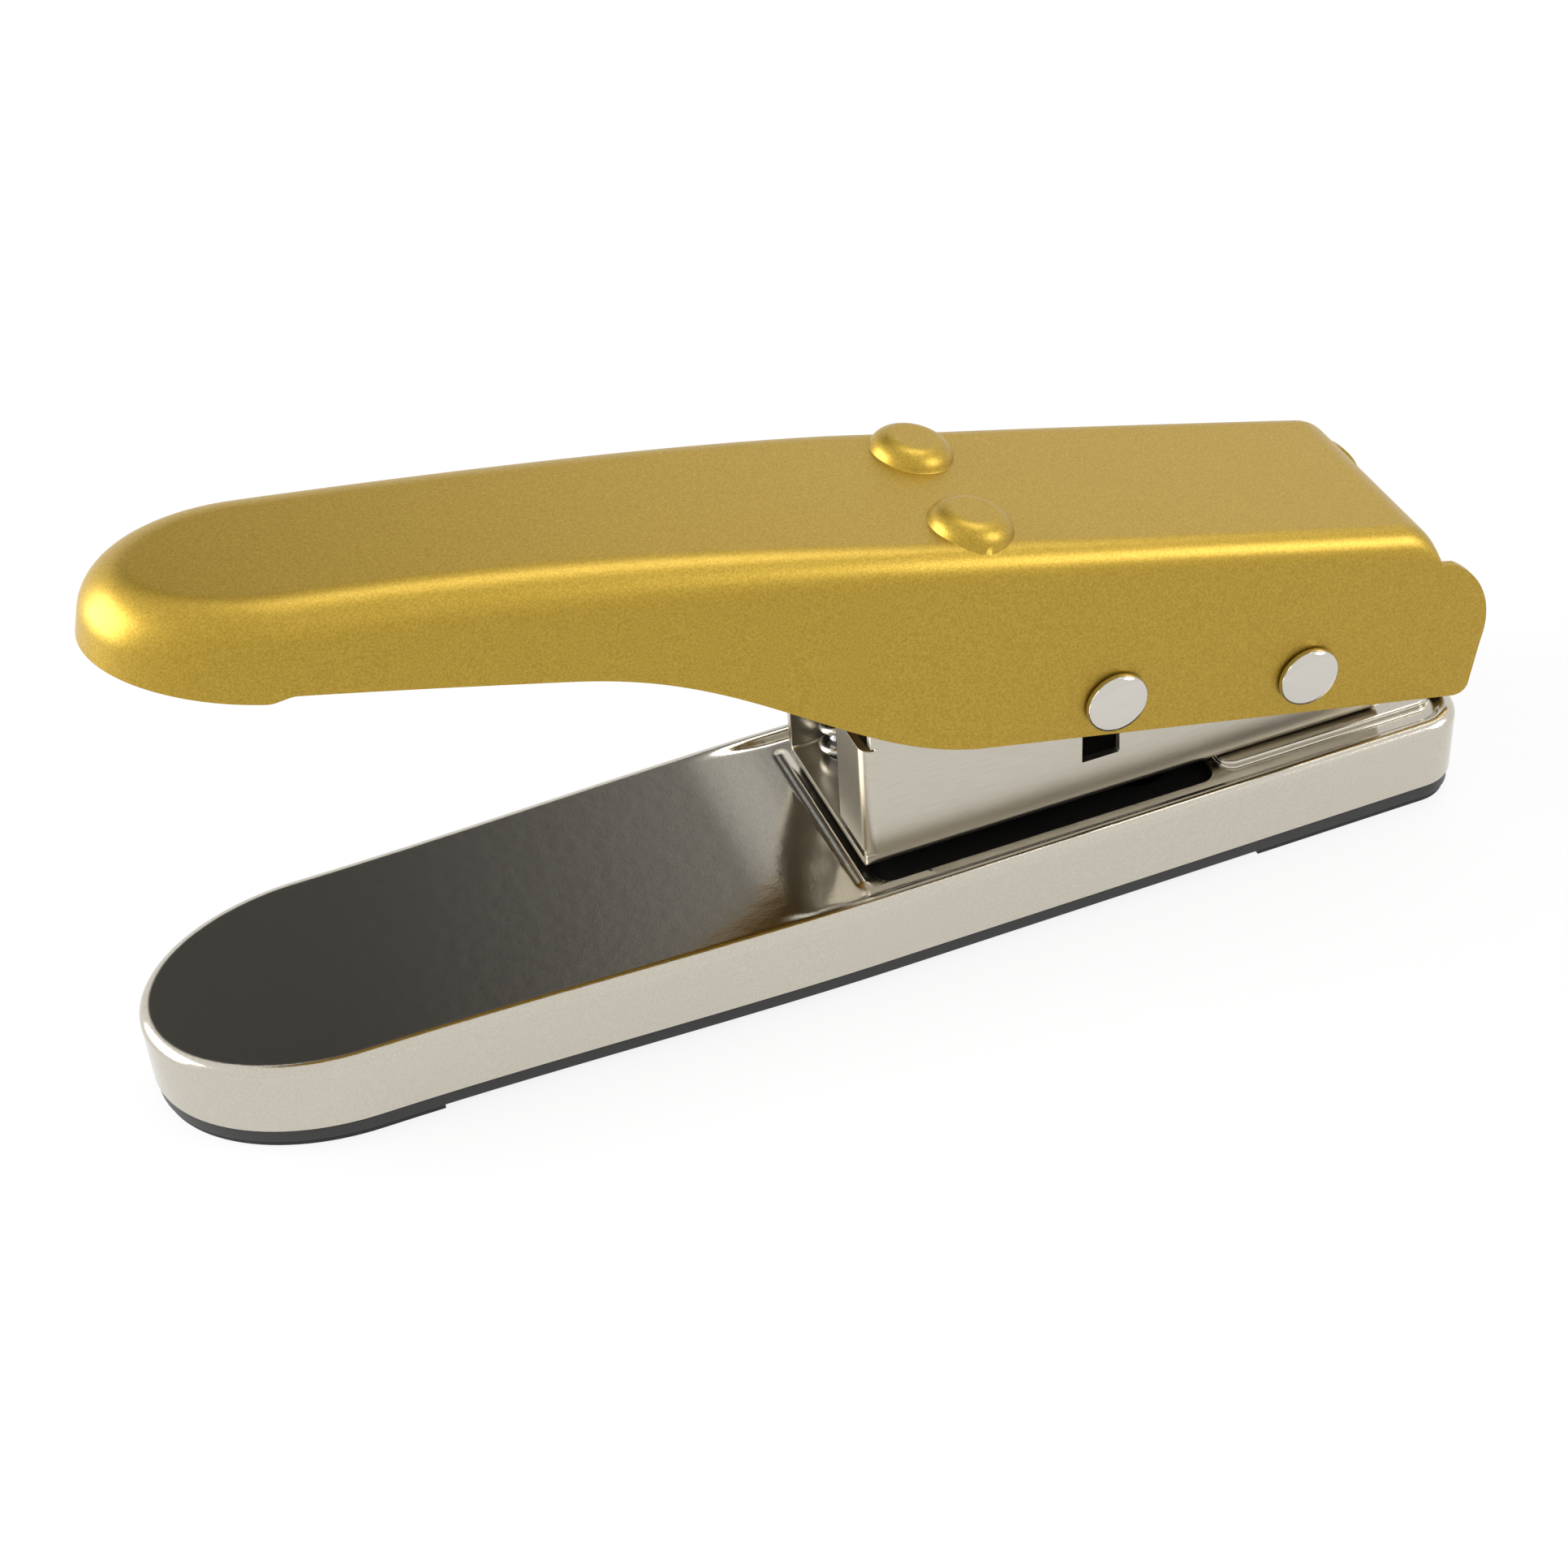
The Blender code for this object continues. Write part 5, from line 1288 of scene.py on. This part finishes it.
# %% Give each piece its material
FINISHES = {
    gold: ["handle_pressing"],
    nickel: ["base_pressing"] + [f"web_rivet_{number}" for number in range(1, 5)],
    satin: ["folded_frame"],
    chrome: ["drive_rivet", "pivot_rivet"],
    zinc: ["wound_spring_left", "wound_spring_right"],
    ground: ["pivot_sleeve", "spring_peg_left", "spring_peg_right"],
    steel_with_painted_shade: ["die_plate", "pick_punch", "punch_carrier", "punch_screw_1", "punch_screw_2"],
    plastic: ["base_cover_moulding"],
    rubber: ["front_pad", "rear_pad"],
    nylon: ["drive_washer_left", "drive_washer_right", "pivot_washer_left", "pivot_washer_right"],
}
for finish, names in FINISHES.items():
    for name in names:
        mesh = bpy.data.objects[name].data
        mesh.materials.clear()
        mesh.materials.append(finish)
print("pieces with a finish:", sum(len(names) for names in FINISHES.values()))

# %% [markdown]
# ## The studio
#
# The picture was taken on white, with soft light from the camera's side. Metal shows its surroundings, so
# these matter as much as the lamps, and here they are white almost all round. A picture of a real studio
# could be wrapped round the scene, but plain white needs no file and keeps the outline clean. The floor
# and the world turn white for the camera and in reflections, and light the tool at a plain level
# otherwise.

# %% Lay the floor and light the world
FLOOR_SIZE = 6.0
FLOOR_DROP = 0.01 * MM
WHITE_SHARE = 0.85
WORLD_LEVEL = 0.6
WHITE = colour("#FFFFFF")


def calculate(material, operation, *values):
    """The result of one operation on outputs of other nodes."""
    node = add_node(material, "ShaderNodeMath", {"operation": operation}, dict(enumerate(values)))
    return node.outputs["Value"]


def seen(material_or_world):
    """1 for what the camera, a reflection or a refraction sees, and 0 for light that falls on a surface."""
    tree = material_or_world.node_tree
    path = tree.nodes.new("ShaderNodeLightPath")
    total = path.outputs["Is Camera Ray"]
    for ray in ("Is Glossy Ray", "Is Transmission Ray"):
        total = calculate(material_or_world, "MAXIMUM", total, path.outputs[ray])
    return total


bpy.ops.object.select_all(action="DESELECT")
bpy.ops.mesh.primitive_plane_add(size=FLOOR_SIZE, location=(0, 0, -FLOOR_DROP))
floor = bpy.context.object
floor.name = "white_floor"
paper = bpy.data.materials.new("white_paper")
paper.use_nodes = True
paper.node_tree.nodes.clear()
matt = add_node(paper, "ShaderNodeBsdfDiffuse", {"Color": colour("#F2F2F2")})
glow = add_node(paper, "ShaderNodeEmission", {"Color": WHITE, "Strength": 1.0})
share = add_node(paper, "ShaderNodeMath", {"operation": "MULTIPLY", 1: WHITE_SHARE}, {0: seen(paper)})
both = add_node(paper, "ShaderNodeMixShader", None, {
    "Fac": share.outputs["Value"], 1: matt.outputs["BSDF"], 2: glow.outputs["Emission"]})
add_node(paper, "ShaderNodeOutputMaterial", None, {"Surface": both.outputs["Shader"]})
floor.data.materials.append(paper)

world = bpy.data.worlds.new("white_studio")
bpy.context.scene.world = world
world.use_nodes = True
world.node_tree.nodes.clear()
plain = add_node(world, "ShaderNodeBackground", {"Color": WHITE, "Strength": WORLD_LEVEL})
white = add_node(world, "ShaderNodeBackground", {"Color": WHITE, "Strength": 1.0})
either = add_node(world, "ShaderNodeMixShader", None, {
    "Fac": seen(world), 1: plain.outputs["Background"], 2: white.outputs["Background"]})
add_node(world, "ShaderNodeOutputWorld", None, {"Surface": either.outputs["Shader"]})

# %% [markdown]
# ## The dark card and the lamps
#
# Bright metal in a white room looks flat, so a photographer hangs something dark where the metal mirrors
# it. One large card hangs behind the tool, for the level top of the base. It gets lighter towards its
# right side and its edges, so that no hard line shows, and it is seen only in reflections. The strongest
# softbox stands ahead of the nose, and two weak ones lift the top and the side towards the camera.

# %% Hang the dark card and the lamps
CARD_DISTANCE = 1.2
CARD_HEADING = math.radians(18)
CARD_RISE = math.radians(47)
CARD_SIZE = (1.5, 0.80)
CARD_LEVEL = 0.06
CARD_SLOPE = (0.16, -0.35)
CARD_CORE = 0.6
CARD_EDGE = 0.5
TOOL_MIDDLE = Vector((0, 0, 0.03))


def facing(place):
    """A place and a turn from which an object looks at the tool."""
    place = Vector(place)
    turn = (TOOL_MIDDLE - place).to_track_quat("-Z", "Y")
    return Matrix.Translation(place) @ turn.to_matrix().to_4x4()


def from_tool(heading, rise, distance):
    """A place at a heading, measured from +Y towards +X, and at an angle above the table."""
    level = distance * math.cos(rise)
    return (level * math.sin(heading), level * math.cos(heading), distance * math.sin(rise))


bpy.ops.object.select_all(action="DESELECT")
bpy.ops.mesh.primitive_plane_add(size=1)
card = bpy.context.object
card.name = "dark_card"
card_place = from_tool(CARD_HEADING, CARD_RISE, CARD_DISTANCE)
card.matrix_world = facing(card_place) @ Matrix.Diagonal((*CARD_SIZE, 1, 1))
felt = bpy.data.materials.new("dark_felt")
felt.use_nodes = True
felt.node_tree.nodes.clear()
across = add_node(felt, "ShaderNodeSeparateXYZ", None, {
    "Vector": add_node(felt, "ShaderNodeTexCoord").outputs["Object"]})


def rise_to_white(place, start, end):
    """A strength that rises softly from the card's level to white between two places on the card."""
    ramp = add_node(felt, "ShaderNodeMapRange", {
        "interpolation_type": "SMOOTHSTEP", "From Min": start, "From Max": end, "To Min": CARD_LEVEL,
        "To Max": 1.0}, {"Value": place})
    return ramp.outputs["Result"]


far_out = calculate(felt, "MAXIMUM", *(
    calculate(felt, "ABSOLUTE", across.outputs[axis]) for axis in ("X", "Y")))
fade = rise_to_white(far_out, CARD_CORE / 2, CARD_EDGE)
lighter = calculate(felt, "MAXIMUM", fade, rise_to_white(across.outputs["X"], *CARD_SLOPE))
dim = add_node(felt, "ShaderNodeEmission", {"Color": WHITE}, {"Strength": lighter})
add_node(felt, "ShaderNodeOutputMaterial", None, {"Surface": dim.outputs["Emission"]})
card.data.materials.append(felt)
for ray in ("camera", "diffuse", "transmission", "shadow", "volume_scatter"):
    setattr(card, f"visible_{ray}", False)

for name, heading, rise, distance, size, watts in (
    ("key_softbox", 122, 30, 1.2, 0.5, 4.5),
    ("side_softbox", 290, 22, 1.2, 0.9, 20.0),
    ("rear_softbox", 60, 60, 1.3, 0.6, 4.0),
):
    lamp_data = bpy.data.lights.new(name, "AREA")
    lamp_data.shape = "SQUARE"
    lamp_data.size = size
    lamp_data.energy = watts
    lamp = put_in_scene(name, lamp_data)
    lamp.matrix_world = facing(from_tool(math.radians(heading), math.radians(rise), distance))

bpy.context.scene.view_settings.view_transform = "Standard"
